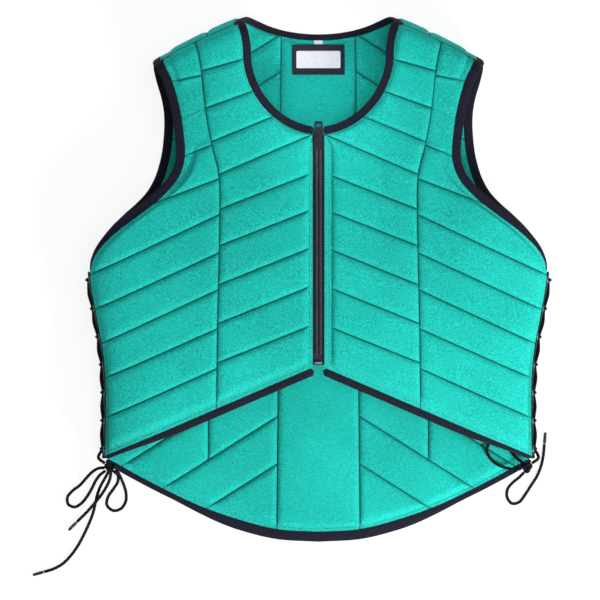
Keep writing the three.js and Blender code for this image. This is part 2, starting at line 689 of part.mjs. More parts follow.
// Arm bindings, up the front edge, over the shoulder and down the back edge
const armCells = [...lastCells(sideGrid).filter((cell) => cell.v > armBase - meets).reverse(),
  ...lastCells(rearGrid).filter((cell) => cell.v > armBase - meets)];
const armFrames = turnedOff(edgeFrames(armCells), outwards);
// The binding turns under towards the laced side, so less of it lies flat there
const armWidth = (frame) => bindingWidth
  * (1 - armTaper * Math.max(0, 1 - (frame.v - armBase) / armTaperSpan));
addPair('arm_binding', bindingAlong(armFrames, armWidth), finishes.binding);

// Hem bindings
const hemCells = [...centreGrid[centreGrid.length - 1], ...sideGrid[sideGrid.length - 1].slice(1)];
addPair('front_hem_binding', bindingAlong(turnedOff(edgeFrames(hemCells), downwards)),
  finishes.binding);
const onTail = (cell) => cell.v < tailAt(cell.d) + meets;
const tailCells = lastCells(rearGrid).filter(onTail);
const tail = [...tailCells, ...[...spine[spine.length - 1]].reverse(), ...flipped(tailCells).reverse()];
add(body, 'back_hem_binding', bindingAlong(turnedOff(edgeFrames(tail), downwards)),
  finishes.binding);

// Lacing strips with their eyelets
const isSide = (corner) => (cell) => cell.v < armBase + meets && cell.v > corner - meets;
const frontSideCells = lastCells(sideGrid).filter(isSide(hemCorner));
const backSideCells = lastCells(rearGrid).filter(isSide(tailCorner));
const frontSideFrames = turnedOff(edgeFrames(frontSideCells), outwards);
const backSideFrames = turnedOff(edgeFrames(backSideCells), outwards);
addPair('front_lacing_strip', lacingStrip(frontSideFrames, frontStrip), finishes.binding);
addPair('back_lacing_strip', lacingStrip(backSideFrames, backStrip), finishes.binding);

// The knots hang below the corner where a laced side meets the front hem
const knotPlace = new THREE.Vector3(sideOut(hemCorner) + knotFromCorner.across,
  hemCorner + knotFromCorner.along, knotFromCorner.up);
// Each side is laced from the top, over one front eyelet and one back eyelet in turn
const laceLift = stripThickness / 2 + laceRadius + eyeletHeight + laceClear;
const overEyelet = ({ at, face }) => at.clone().addScaledVector(face, laceLift);
const frontEyelets = eyeletPlaces(frontSideFrames, frontStrip).map(overEyelet);
const backEyelets = eyeletPlaces(backSideFrames, backStrip).map(overEyelet);
const laceRoute = frontEyelets.flatMap((front, k) => [front, backEyelets[k]]);
const lastEyelet = backEyelets[eyeletCount - 1];
const intoKnot = knotPlace.clone().add(laceIntoKnot);
const belowEyelet = lastEyelet.clone().lerp(intoKnot, 0.5).add(laceSwing);
addPair('side_lace', tubeAlong([...laceRoute, belowEyelet, intoKnot], laceRadius, laceSides,
  laceStep), finishes.lace);

// Knots and free ends, laid on the floor as the two bows fall
const fromKnot = (side) => ([across, along, up]) => new THREE.Vector3(side * knotPlace.x + across,
  knotPlace.y + along, up);
const freeEnds = [
  { name: 'bow_loop_left_outer', side: -1, points: bowLoopLeftOuter },
  { name: 'bow_loop_left_inner', side: -1, points: bowLoopLeftInner },
  { name: 'lace_end_left_long', side: -1, points: laceEndLeftLong, tip: true },
  { name: 'lace_end_left_short', side: -1, points: laceEndLeftShort, tip: true },
  { name: 'bow_loop_right', side: 1, points: bowLoopRight },
  { name: 'lace_end_right', side: 1, points: laceEndRight, tip: true },
];
for (const { name, side, points, tip } of freeEnds) {
  const route = points.map(fromKnot(side));
  add(cords, name, tubeAlong(route, laceRadius, endSides, laceStep), finishes.lace);
  if (tip) {
    const end = route[route.length - 1];
    const way = end.clone().sub(route[route.length - 2]).normalize();
    const sheath = new THREE.CylinderGeometry(tipRadius * tipTaper, tipRadius, tipLength, endSides);
    placed(sheath, end.clone().addScaledVector(way, seamGap + tipLength / 2), way);
    add(cords, name.replace('lace_end', 'lace_tip'), sheath, finishes.metal);
  }
}
for (const side of [1, -1]) {
  const knot = new THREE.SphereGeometry(knotRadius, knotSegments.around, knotSegments.down)
    .scale(knotShape.across, knotShape.along, knotShape.up);
  knot.translate(side * knotPlace.x, knotPlace.y, knotPlace.z);
  add(cords, side > 0 ? 'lace_knot_right' : 'lace_knot_left', knot, finishes.lace);
}

// Zip: two tapes, two rows of teeth on them, a slider, its pull tab and the bottom stop
const zipTop = neckAtZip - seamGap;
const teethBottom = frontHemPeak + zipTail;
const railRows = 9;
function zipRail(from, to, low, high, top, bottom) {
  return loft(Array.from({ length: railRows }, (_, i) => {
    const v = top + (bottom - top) * i / (railRows - 1);
    const corner = (d, lift) => {
      const frame = sheetFrame(1, d, v);
      return frame.at.addScaledVector(frame.out, lift);
    };
    return [corner(from, low), corner(to, low), corner(to, high), corner(from, high)];
  }));
}
const tapeLow = -tapeThickness;
const teethLow = seamGap;
const teethTop = teethLow + toothThickness;
const sliderTop = zipTop + sliderAboveCloth;
const railTop = Math.min(zipTop, sliderTop - sliderWedge - runClear);
addPair('zip_tape', zipRail(seamGap / 2, zipHalf - seamGap / 2, tapeLow, 0, railTop, frontHemPeak),
  finishes.tape);
addPair('zip_teeth', zipRail(seamGap / 2, toothReach, teethLow, teethTop, railTop, teethBottom),
  finishes.teeth);

const box = (x, y, z, atX = 0, atY = 0, atZ = 0) => new THREE.BoxGeometry(x, y, z)
  .translate(atX, atY, atZ);
const sliderMiddle = sliderTop - sliderLength / 2;
const sliderFrame = sheetFrame(1, 0, sliderMiddle);
const slope = Math.atan2(sliderFrame.up.z, sliderFrame.up.y);
const slider = new THREE.Group();
slider.position.copy(sliderFrame.at);
slider.rotation.x = slope;
body.add(slider);

const plateLow = teethTop + runClear;
const underTop = tapeLow - runClear;
const plateTop = plateLow + plate;
const barRadius = barHalf * Math.SQRT2;
const bridgeRoom = barRadius + runClear;
const barUp = plateTop + bridgeRoom;
const bridgeTop = barUp + bridgeRoom;
const wedgeAt = sliderLength / 2 - sliderWedge / 2;
const legAt = bridgeHalf - bridgeLeg / 2;
const legHeight = bridgeTop - plateTop + plate / 2;
const bite = 0.01;
const leg = (side) => box(bridgeWidth, bridgeLeg, legHeight, 0, bridgeAt + side * legAt,
  plateTop - plate / 2 + legHeight / 2);
add(slider, 'zip_slider', joined([
  box(2 * sliderHalf, sliderLength, plate, 0, 0, plateLow + plate / 2),
  box(2 * sliderHalf, sliderLength, plate, 0, 0, underTop - plate / 2),
  box(bridgeWidth, sliderWedge, plateLow - underTop + plate, 0, wedgeAt, (plateLow + underTop) / 2),
  leg(1), leg(-1),
  box(bridgeWidth, 2 * bridgeHalf, bridgeLeg, 0, bridgeAt, bridgeTop + bridgeLeg / 2 - bite),
]), finishes.metal);

const tab = box(2 * tabHalf, tabLength, 2 * barHalf, 0, tabLength / 2 - barHalf, 0);
const tabCut = 4 * barHalf;
const eye = box(2 * tabEyeHalf, tabEyeEnd - barHalf, tabCut, 0, (tabEyeEnd + barHalf) / 2, 0);
const slot = box(2 * tabSlot.half, tabSlot.to - tabSlot.from, tabCut, 0,
  (tabSlot.from + tabSlot.to) / 2, 0);
const pull = add(slider, 'zip_pull_tab', joined([tab], [eye, slot]), finishes.metal);
pull.position.set(0, bridgeAt, barUp);

const stopFrame = sheetFrame(1, 0, frontHemPeak + stopLength);
add(body, 'zip_bottom_stop', box(2 * toothReach, stopLength, toothThickness, stopFrame.at.x,
  stopFrame.at.y, stopFrame.at.z + teethLow + toothThickness / 2), finishes.silver);

// Labels sewn inside the back, under the neck
const inner = foam + seamGap;
const patchUp = inner + labelSize.thick + seamGap;
add(body, 'label_backing', box(labelSize.across, labelSize.along, labelSize.thick, 0, labelUp,
  inner + labelSize.thick / 2), finishes.binding);
add(body, 'label_patch', box(patchSize.across, patchSize.along, patchSize.thick, 0, labelUp,
  patchUp + patchSize.thick / 2), finishes.patch);
add(body, 'size_tab', box(sizeTabSize.across, sizeTabSize.along, sizeTabSize.thick, 0,
  backNeckBase - sizeTabSize.along / 2,
  inner + sizeTabSize.thick / 2), finishes.patch);

// The origin is the middle of the vest's footprint, on the floor
const extent = new THREE.Box3().setFromObject(body, true);
const middle = extent.getCenter(new THREE.Vector3());
group.position.set(-middle.x, -middle.y, -extent.min.z);
export default group;
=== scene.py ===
"""Looks of a quilted riding body protector that lies on its back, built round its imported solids.

Lengths inside the classes are millimetres; a mesh is written in metres in the part's own frame.
A place on the two layers is (d, v): d is the distance from the centre line and v runs up the
cloth, round the shoulder fold where the front turns over into the back.
"""

import json
import logging
import math
from dataclasses import dataclass
from enum import Enum
from functools import reduce
from typing import Callable

import bpy
import numpy as np
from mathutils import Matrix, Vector

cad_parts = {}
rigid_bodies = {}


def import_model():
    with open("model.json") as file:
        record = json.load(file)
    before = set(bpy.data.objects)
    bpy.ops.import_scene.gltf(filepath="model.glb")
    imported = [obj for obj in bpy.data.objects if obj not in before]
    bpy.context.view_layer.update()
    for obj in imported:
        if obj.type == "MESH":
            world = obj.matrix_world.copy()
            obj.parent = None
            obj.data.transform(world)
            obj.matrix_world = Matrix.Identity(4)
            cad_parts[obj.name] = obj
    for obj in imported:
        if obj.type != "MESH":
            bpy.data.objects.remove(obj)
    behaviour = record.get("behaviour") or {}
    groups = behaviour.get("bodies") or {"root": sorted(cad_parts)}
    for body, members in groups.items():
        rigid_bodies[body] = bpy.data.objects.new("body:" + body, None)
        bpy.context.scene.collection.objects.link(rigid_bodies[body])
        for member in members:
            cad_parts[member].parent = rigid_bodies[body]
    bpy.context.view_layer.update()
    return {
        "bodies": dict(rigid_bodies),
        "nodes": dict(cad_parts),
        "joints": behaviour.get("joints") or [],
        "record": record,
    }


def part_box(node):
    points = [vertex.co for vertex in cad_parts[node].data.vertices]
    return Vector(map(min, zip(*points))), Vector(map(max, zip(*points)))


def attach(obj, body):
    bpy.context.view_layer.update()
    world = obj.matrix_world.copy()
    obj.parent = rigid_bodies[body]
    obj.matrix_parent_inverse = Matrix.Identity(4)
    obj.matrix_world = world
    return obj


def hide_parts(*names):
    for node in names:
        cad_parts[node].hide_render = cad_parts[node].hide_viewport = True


Array = np.ndarray
METRES = 0.001
VEST = "vest"
log = logging.getLogger("vest")


class Column(Enum):
    """The two columns of blocks on each half of the front."""

    CENTRE = "centre"
    SIDE = "side"


class Side(Enum):
    """The halves of the vest, as the sign of X."""

    RIGHT = 1
    LEFT = -1

    @property
    def word(self) -> str:
        """The half's name, as the nodes end in."""
        return self.name.lower()


# Helpers for arrays


def unit(vectors: Array) -> Array:
    """The vectors made one long, along the last axis."""
    return vectors / np.linalg.norm(vectors, axis=-1, keepdims=True)


def smooth_step(x: Array) -> Array:
    """0 below 0, 1 above 1 and 3x^2 - 2x^3 in between."""
    x = np.clip(x, 0, 1)
    return x * x * (3 - 2 * x)


def reach(inside: Callable[[Array], Array], low: Array, high: Array) -> Array:
    """The far end of a stretch, by halving.

    Args:
        inside: says for each value if it still lies inside.
        low: values that lie inside.
        high: values past the end.

    Returns:
        The last value inside, for each entry.
    """
    low, high = np.array(low, float), np.array(high, float)
    for _ in range(36):
        middle = (low + high) / 2
        yes = inside(middle)
        low, high = np.where(yes, middle, low), np.where(yes, high, middle)
    return low


def reach_one(inside: Callable[[Array], Array], low: float, high: float) -> float:
    """The far end of a single stretch, found as reach does."""
    return float(reach(inside, np.array(float(low)), np.array(float(high))))


def run_of(line: Array) -> Array:
    """How far along a line of points each of them lies."""
    return np.concatenate([[0], np.cumsum(np.linalg.norm(np.diff(line, axis=0), axis=1))])


def between(at: Array, run: Array, values: Array) -> Array:
    """Rows of three values read between the places of a run."""
    return np.stack([np.interp(at, run, values[:, k]) for k in range(3)], -1)


@dataclass(frozen=True)
class Curve:
    """A smooth curve through rows of a table, read at the first column."""

    keys: Array
    values: Array

    @staticmethod
    def through(rows: list[tuple[float, float]], key_unit: float, value_unit: float) -> "Curve":
        """The curve of a table whose columns are shares of two sizes.

        Args:
            rows: pairs of key share and value share.
            key_unit: the size that the keys are shares of.
            value_unit: the size that the values are shares of.

        Returns:
            The curve in millimetres.
        """
        table = np.array(sorted(rows))
        return Curve(table[:, 0] * key_unit, table[:, 1] * value_unit)

    def __call__(self, at: Array) -> Array:
        """Cubic between rows, with each row's slope taken from its two neighbours.

        Args:
            at: where the curve is read; ends are held beyond the table.

        Returns:
            The value at each place.
        """
        keys, values = self.keys, self.values
        ahead = np.minimum(np.arange(len(keys)) + 1, len(keys) - 1)
        behind = np.maximum(np.arange(len(keys)) - 1, 0)
        slopes = (values[ahead] - values[behind]) / (keys[ahead] - keys[behind])
        at = np.clip(at, keys[0], keys[-1])
        i = np.clip(np.searchsorted(keys, at, side="right") - 1, 0, len(keys) - 2)
        step = keys[i + 1] - keys[i]
        t = (at - keys[i]) / step
        rise = values[i + 1] - values[i]
        bend = slopes[i] * step - rise
        bend_next = rise - slopes[i + 1] * step
        return values[i] + rise * t + t * (1 - t) * (bend * (1 - t) + bend_next * t)


# Meshes


def grid_quads(rows: int, columns: int, wrap: bool = False, start: int = 0) -> Array:
    """Quads between neighbouring points of a grid.

    Args:
        rows: how many rows of points.
        columns: how many points in a row.
        wrap: True where each row closes on itself.
        start: the index of the grid's first point.

    Returns:
        An array of four indices for each quad.
    """
    r = np.arange(rows - 1)[:, None]
    c = np.arange(columns if wrap else columns - 1)[None, :]
    following = (c + 1) % columns
    corners = [r * columns + c, r * columns + following,
               (r + 1) * columns + following, (r + 1) * columns + c]
    return np.stack([np.broadcast_to(x, corners[0].shape) for x in corners],
                    -1).reshape(-1, 4) + start


def volume(points: Array, faces: Array) -> float:
    """The signed volume inside the faces: the sum of each triangle's corner products over six."""
    tris = np.concatenate([faces[:, [0, 1, 2]], faces[:, [0, 2, 3]]])
    a, b, c = points[tris[:, 0]], points[tris[:, 1]], points[tris[:, 2]]
    return float(np.einsum("ij,ij->", a, np.cross(b, c)) / 6)


@dataclass
class Shape:
    """A closed mesh in millimetres: its points, quads, caps, cloth coordinates and masks."""

    points: Array
    quads: Array
    caps: list[list[int]]
    cloth: Array
    masks: dict[str, Array]

    def mirrored(self) -> "Shape":
        """The same shape on the other side of the centre line."""
        points = self.points * np.array([-1, 1, 1])
        return Shape(points, self.quads[:, ::-1], [cap[::-1] for cap in self.caps], self.cloth,
                     self.masks)

    def on(self, side: Side) -> "Shape":
        """The shape, which is made for the right, on either side."""
        return self if side is Side.RIGHT else self.mirrored()

    def turned_out(self) -> "Shape":
        """The shape with all its faces pointing outwards, told by its volume's sign."""
        fans = [[cap[0], cap[k], cap[k + 1],
                 cap[k + 1]] for cap in self.caps for k in range(1, len(cap) - 1)]
        faces = np.concatenate([self.quads, np.array(fans, int).reshape(-1, 4)])
        if volume(self.points, faces) < 0:
            return Shape(self.points, self.quads[:, ::-1], [cap[::-1] for cap in self.caps],
                         self.cloth, self.masks)
        return self

    def plus(self, other: "Shape") -> "Shape":
        """This shape and another in one mesh."""
        count = len(self.points)
        names = set(self.masks) & set(other.masks)
        return Shape(np.concatenate([self.points, other.points]),
                     np.concatenate([self.quads, other.quads + count]),
                     self.caps + [[i + count for i in cap] for cap in other.caps],
                     np.concatenate([self.cloth, other.cloth]),
                     {n: np.concatenate([self.masks[n], other.masks[n]]) for n in names})


@dataclass(frozen=True)
class Maker:
    """Writes shapes into Blender, in the frame's place and in metres."""

    shift: tuple[float, float, float]
    sharp_angle: float = 55.0

    def piece(self, name: str, shape: Shape, material: bpy.types.Material,
              replaces: tuple[str, ...] = (), body: str = VEST) -> bpy.types.Object:
        """Makes one piece that rides on a body.

        Args:
            name: the piece's name.
            shape: its mesh in millimetres.
            material: its finish.
            replaces: the solids that it stands for.
            body: the body it moves with.

        Returns:
            The Blender object.
        """
        shape = shape.turned_out()
        mesh = bpy.data.meshes.new(name)
        points = (shape.points + np.array(self.shift)) * METRES
        mesh.from_pydata(points.tolist(), [], [*shape.quads.tolist(), *shape.caps])
        mesh.polygons.foreach_set("use_smooth", np.ones(len(mesh.polygons), bool))
        corners = np.zeros(len(mesh.loops), np.int32)
        mesh.loops.foreach_get("vertex_index", corners)
        cloth = mesh.uv_layers.new(name="cloth")
        cloth.data.foreach_set("uv", (shape.cloth[corners] * METRES).astype(np.float32).ravel())
        for mask, values in shape.masks.items():
            attribute = mesh.attributes.new(mask, "FLOAT", "POINT")
            attribute.data.foreach_set("value", values.astype(np.float32).ravel())
        mesh.set_sharp_from_angle(angle=math.radians(self.sharp_angle))
        mesh.update()
        mesh.materials.append(material)
        made = bpy.data.objects.new(name, mesh)
        bpy.context.scene.collection.objects.link(made)
        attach(made, body)
        if replaces:
            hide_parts(*replaces)
        log.info("%s: %d points, %d faces", name, len(points), len(mesh.polygons))
        return made


def loft(rings: Array, cloth: Array, masks: dict[str, Array] | None = None,
         closed: bool = False) -> Shape:
    """A tube through rings of points, capped at both ends unless it closes on itself.

    Args:
        rings: points, indexed by ring, place in the ring and axis.
        cloth: two cloth coordinates for each point.
        masks: named values for each point.
        closed: True where the last ring joins the first.

    Returns:
        The closed shape.
    """
    count, around = rings.shape[:2]
    quads = grid_quads(count, around, wrap=True)
    caps = [list(range(around))[::-1], list(range((count - 1) * around, count * around))]
    if closed:
        last = (count - 1) * around + np.arange(around)
        first = np.arange(around)
        bridge = np.stack([last, np.roll(last, -1), np.roll(first, -1), first], -1)
        quads, caps = np.concatenate([quads, bridge]), []
    values = {name: value.reshape(-1) for name, value in (masks or {}).items()}
    return Shape(rings.reshape(-1, 3), quads, caps, cloth.reshape(-1, 2), values)


def slab(top: Array, under: Array, cloth: Array, masks: dict[str, Array]) -> Shape:
    """A closed sheet between two grids of points, with a rim all round.

    Args:
        top: points of the upper face, indexed by row, column and axis.
        under: the same for the lower face.
        cloth: cloth coordinates of each place.
        masks: named values of each place.

    Returns:
        The closed shape.
    """
    rows, columns = top.shape[:2]
    count = rows * columns
    index = np.arange(count).reshape(rows, columns)
    ring = np.concatenate([index[0], index[1:, -1], index[-1, -2::-1], index[-2:0:-1, 0]])
    rim = np.stack([np.roll(ring, -1), ring, ring + count, np.roll(ring, -1) + count], -1)
    quads = np.concatenate([grid_quads(rows, columns),
                            grid_quads(rows, columns, start=count)[:, ::-1], rim])
    twice = {name: np.concatenate([value.reshape(-1)] * 2) for name, value in masks.items()}
    return Shape(np.concatenate([top.reshape(-1, 3), under.reshape(-1, 3)]), quads, [],
                 np.concatenate([cloth.reshape(-1, 2)] * 2), twice)


# The vest's form


@dataclass(frozen=True)
class VestForm:
    """Named sizes of the vest and the functions that place its two layers."""

    length: float = 591
    chest_half: float = 255
    layer_rise: float = 52
    fold_reach: float = 18
    foam: float = 12
    seam_thickness: float = 3.4
    seam_gap: float = 0.3
    # At a sewn seam the cloth of two pads meets, with a hair's overlap
    seam_touch: float = -0.06
    chest_rise: float = 6
    chest_rise_span: float = 130
    chest_rise_up: float = 41.4
    side_drop: float = 12
    side_drop_span: float = 18
    side_curl: float = 5
    side_curl_span: float = 16
    neck_out: float = 88
    neck_up: float = 291
    arm_out: float = 180
    arm_up: float = 247
    shoulder_bulge: float = 1.5
    neck_half: float = 84.5
    neck_roundness: float = 1.9
    front_neck_base: float = 162
    front_neck_height: float = 90
    neck_flare: float = 10
    back_neck_base: float = 269
    back_neck_height: float = 46
    spine_half: float = 41.5
    spine_tail_half: float = 47
    back_seam: float = 123.8
    hem_peak: float = -95.5
    hem_slope: float = 0.43
    back_slope: float = 0.63
    tail_corner_rise: float = 0.6
    zip_half: float = 6.7
    knot_place: tuple[float, float, float] = (234.0, -211.0, 25.0)
    # Channels: centre column's share up the vest and slope, then the side column's
    channels: tuple[tuple[float, float, float, float], ...] = (
        (0.3948, 0.28, 0.3866, 0.20), (0.3240, 0.36, 0.3222, 0.50), (0.2602, 0.41, 0.2551, 0.43),
        (0.1984, 0.43, 0.1907, 0.38), (0.1330, 0.39, 0.1232, 0.47), (0.0637, 0.39, 0.0508, 0.46),
        (-0.0100, 0.40, -0.0190, 0.465), (-0.0834, 0.40, -0.0929, 0.445),
        (-0.1579, 0.40, -0.1681, 0.45))
    back_rows: tuple[float, ...] = (0.56, 0.468, 0.3960, 0.2924, 0.2005, 0.1083, 0.0164, -0.0756,
                                    -0.1675, -0.2596, -0.3506)
    # Seams and edges: share up the vest, then share of the half chest
    princess_rows: tuple[tuple[float, float], ...] = (
        (0.50, 0.556), (0.457, 0.540), (0.394, 0.514), (0.324, 0.4965), (0.258, 0.470),
        (0.197, 0.437), (0.10, 0.434), (-0.083, 0.443), (-0.25, 0.448))
    side_rows: tuple[tuple[float, float], ...] = (
        (0.0135, 0.998), (-0.017, 0.992), (-0.0745, 0.968), (-0.135, 0.943), (-0.195, 0.932),
        (-0.27, 0.931), (-0.36, 0.936))
    front_arm_rows: tuple[tuple[float, float], ...] = (
        (0.47, 0.690), (0.411, 0.677), (0.381, 0.646), (0.350, 0.623), (0.320, 0.606),
        (0.289, 0.595), (0.2445, 0.585), (0.214, 0.593), (0.184, 0.626), (0.1535, 0.692),
        (0.123, 0.782), (0.093, 0.876), (0.063, 0.950), (0.037, 0.988))
    back_arm_rows: tuple[tuple[float, float], ...] = (
        (0.56, 0.690), (0.411, 0.690), (0.381, 0.676), (0.350, 0.655), (0.320, 0.643),
        (0.289, 0.641), (0.2445, 0.650), (0.214, 0.665), (0.184, 0.689), (0.1535, 0.731),
        (0.123, 0.801), (0.093, 0.887), (0.063, 0.954), (0.037, 0.988))
    # Tail hem: share of the half chest, then share up the vest
    tail_rows: tuple[tuple[float, float], ...] = (
        (0.0, -0.4800), (0.18, -0.4750), (0.34, -0.4580), (0.52, -0.4310), (0.68, -0.3990),
        (0.80, -0.3720), (0.90, -0.3480), (0.96, -0.3340))

    def princess(self, v: Array) -> Array:
        """The seam between a front half's two columns, outwards at v."""
        return Curve.through(list(self.princess_rows), self.length, self.chest_half)(v)

    def side_out(self, v: Array) -> Array:
        """The laced side edge, outwards at v."""
        return Curve.through(list(self.side_rows), self.length, self.chest_half)(v)

    def front_out(self, v: Array) -> Array:
        """The front's outer edge, arm and side together."""
        rows = [*self.front_arm_rows, *self.side_rows]
        return Curve.through(rows, self.length, self.chest_half)(v)

    def back_out(self, v: Array) -> Array:
        """The back's outer edge, arm and side together."""
        rows = [*self.back_arm_rows, *self.side_rows]
        return Curve.through(rows, self.length, self.chest_half)(v)

    def tail_at(self, d: Array) -> Array:
        """The tail hem's height at a distance from the centre."""
        return Curve.through(list(self.tail_rows), self.chest_half, self.length)(d)

    @property
    def arm_base(self) -> float:
        """The height where the armhole ends and the laced side begins."""
        return self.side_rows[0][0] * self.length

    @property
    def arm_side(self) -> float:
        """How far out the cloth reaches where the armhole ends."""
        return float(self.side_out(np.array(self.arm_base)))

    def fold_line(self, d: Array) -> Array:
        """The shoulder's far edge: a straight line from neck to arm with a bulge of 4t(1-t)."""
        t = (d - self.neck_out) / (self.arm_out - self.neck_out)
        straight = self.neck_up + (self.arm_up - self.neck_up) * t
        return straight + self.shoulder_bulge * 4 * t * (1 - t)

    def fold_start(self, d: Array) -> Array:
        """Where the cloth begins to turn over."""
        return self.fold_line(d) - self.fold_reach

    def seam_at(self, d: Array, face: int) -> Array:
        """The shoulder seam on the cloth, an eighth of a turn in front of the fold's middle."""
        share = 0.25 if face > 0 else 0.75
        return self.fold_start(d) + self.fold_reach * math.pi * share

    def front_level(self, d: Array, v: Array) -> Array:
        """Height of the front's middle: a low hill across the chest, less a drop at the sides."""
        inset = self.side_out(np.minimum(v, self.arm_base)) - d
        hill = self.chest_rise * np.exp(-(((v - self.chest_rise_up) / self.chest_rise_span) ** 2))
        drop = self.side_drop * np.exp(-inset / self.side_drop_span)
        return self.foam / 2 + self.layer_rise + hill - drop

    def back_level(self, d: Array, v: Array) -> Array:
        """Height of the back's middle, which curls up at the sides."""
        inset = self.side_out(np.minimum(v, self.arm_base)) - d
        return self.foam / 2 + self.side_curl * np.exp(-inset / self.side_curl_span)

    def point(self, face: int, d: Array, v: Array) -> Array:
        """The middle of a layer.

        Args:
            face: 1 on the front, -1 on the back.
            d: distance from the centre line.
            v: place up the cloth.

        Returns:
            Points: past the fold's start the cloth follows a half ellipse between the layers.
        """
        start = self.fold_start(d)
        flat = np.minimum(v, start)
        turn = np.maximum(0, v - start) / self.fold_reach
        front, back = self.front_level(d, flat), self.back_level(d, flat)
        z = (front + back) / 2 + face * (front - back) / 2 * np.cos(turn)
        return np.stack(np.broadcast_arrays(d, flat + self.fold_reach * np.sin(turn), z), -1)

    def outward(self, face: int, d: Array, v: Array) -> Array:
        """The layer's direction away from the wearer, from half-millimetre differences."""
        h = 0.5
        across = self.point(face, d + h, v) - self.point(face, d - h, v)
        up = self.point(face, d, v + h) - self.point(face, d, v - h)
        return unit(np.cross(unit(across), unit(up))) * face

    def front_neck(self, v: Array) -> Array:
        """Half the neck opening on the front: a quarter of a super-ellipse that flares above."""
        centre = self.front_neck_base + self.front_neck_height
        drop = np.clip((centre - v) / self.front_neck_height, 0, 1)
        flare = self.neck_flare * np.maximum(0, (v - centre) / (self.length / 2 - centre)) ** 2
        half = self.neck_half * (1 - drop**self.neck_roundness) ** (1 / self.neck_roundness)
        return np.where(v < self.front_neck_base, 0, half + flare)

    def back_neck(self, v: Array) -> Array:
        """Half the neck opening on the back: a shallow quarter ellipse."""
        drop = np.clip(1 - (v - self.back_neck_base) / self.back_neck_height, 0, 1)
        half = (self.neck_half + self.neck_flare) * np.sqrt(1 - drop**2)
        return np.where(v < self.back_neck_base, 0, half)

    def spine_seam(self, v: Array) -> Array:
        """Half the spine column, a little wider at the tail."""
        t = np.clip(0.5 - v / self.length, 0, 1)
        return self.spine_half + (self.spine_tail_half - self.spine_half) * t

    def hem_at(self, d: Array) -> Array:
        """The front hem, a straight slope from its peak at the zip."""
        return self.hem_peak - self.hem_slope * d

    def front_line(self, column: Column, k: Array, d: Array) -> Array:
        """The height of the front's row seam k: 0 is the shoulder seam and the last is the hem."""
        table = np.array(self.channels)
        first = 0 if column is Column.CENTRE else 2
        row = np.clip(k - 1, 0, len(table) - 1)
        up, slope = table[row, first] * self.length, table[row, first + 1]
        channel = up - slope * (d - self.princess(up))
        line = np.where(k == len(table) + 1, self.hem_at(d), channel)
        return np.where(k == 0, self.seam_at(d, 1) - self.seam_gap, line)

    def back_line(self, k: Array, d: Array) -> Array:
        """The height of the back's diagonal k: 0 is the shoulder seam."""
        rows = np.array([*self.back_rows, 0.0]) * self.length
        rows[-1] = self.tail_at(self.spine_tail_half) + self.tail_corner_rise
        up = rows[np.clip(k - 1, 0, len(rows) - 1)]
        line = up - self.back_slope * (d - self.spine_seam(up))
        return np.where(k == 0, self.seam_at(d, -1) - self.seam_gap, line)


FORM = VestForm()


@dataclass(frozen=True)
class Relief:
    """The cross-section of a sewn foam block, half of its thickness at a distance from a seam."""

    thin: float = FORM.seam_thickness / 2
    full: float = FORM.foam / 2
    rounding: float = 7.0
    squareness: float = 1.8
    # Width of the bell of painted shade along each sewn seam
    groove: float = 0.8
    crown: float = 0.25
    crown_span: float = 14.0

    def half(self, rise: Array) -> Array:
        """Half the thickness at a rise from 0 on a seam to 1 on a block."""
        return self.thin + (self.full - self.thin) * rise

    def rise(self, distance: Array) -> Array:
        """0 on the seam, 1 past the rounded shoulder, a super-ellipse in between."""
        x = np.clip(distance / self.rounding, 0, 1)
        return (1 - (1 - x) ** self.squareness) ** (1 / self.squareness)

    def groove_mask(self, distance: Array) -> Array:
        """1 in the bottom of a sewn seam's channel, falling off as a bell: where painted shade
        darkens the cloth.
        """
        return np.exp(-((distance / self.groove) ** 2))


def waviness(d: Array, v: Array, side: int) -> Array:
    """Slow hand-made unevenness of the cloth: a sum of four sine waves, under half a millimetre."""
    a = np.sin(d / 23 + v / 41 + side) * np.sin(v / 29 - d / 57)
    b = np.sin(d / 11 - v / 17 + 2 * side) * np.sin(v / 13 + d / 19)
    return 0.22 * a + 0.10 * b


@dataclass(frozen=True)
class Edge:
    """A run of cells along an edge of the padding: places, outward directions and heights."""

    at: Array
    out: Array
    d: Array
    v: Array

    @staticmethod
    def cells(face: int, d: Array, v: Array) -> "Edge":
        """The run through some places of a layer."""
        return Edge(FORM.point(face, d, v), FORM.outward(face, d, v), d, v)

    def then(self, other: "Edge") -> "Edge":
        """This run followed by another."""
        pairs = ((self.at, other.at), (self.out, other.out), (self.d, other.d), (self.v, other.v))
        return Edge(*(np.concatenate(pair) for pair in pairs))

    def backwards(self) -> "Edge":
        """The run from its other end."""
        return Edge(self.at[::-1], self.out[::-1], self.d[::-1], self.v[::-1])

    def mirrored(self) -> "Edge":
        """The run on the other side of the centre line."""
        flip = np.array([-1, 1, 1])
        return Edge(self.at * flip, self.out * flip, self.d, self.v)

    def where(self, keep: Array) -> "Edge":
        """Only the cells that are kept."""
        return Edge(self.at[keep], self.out[keep], self.d[keep], self.v[keep])

    def off(self, towards: tuple[float, float, float]) -> Array:
        """Directions off the padding, at right angles to the run and to outwards."""
        run = unit(np.gradient(self.at, axis=0))
        off = unit(np.cross(run, self.out))
        return off * (1 if off[0] @ np.array(towards) > 0 else -1)


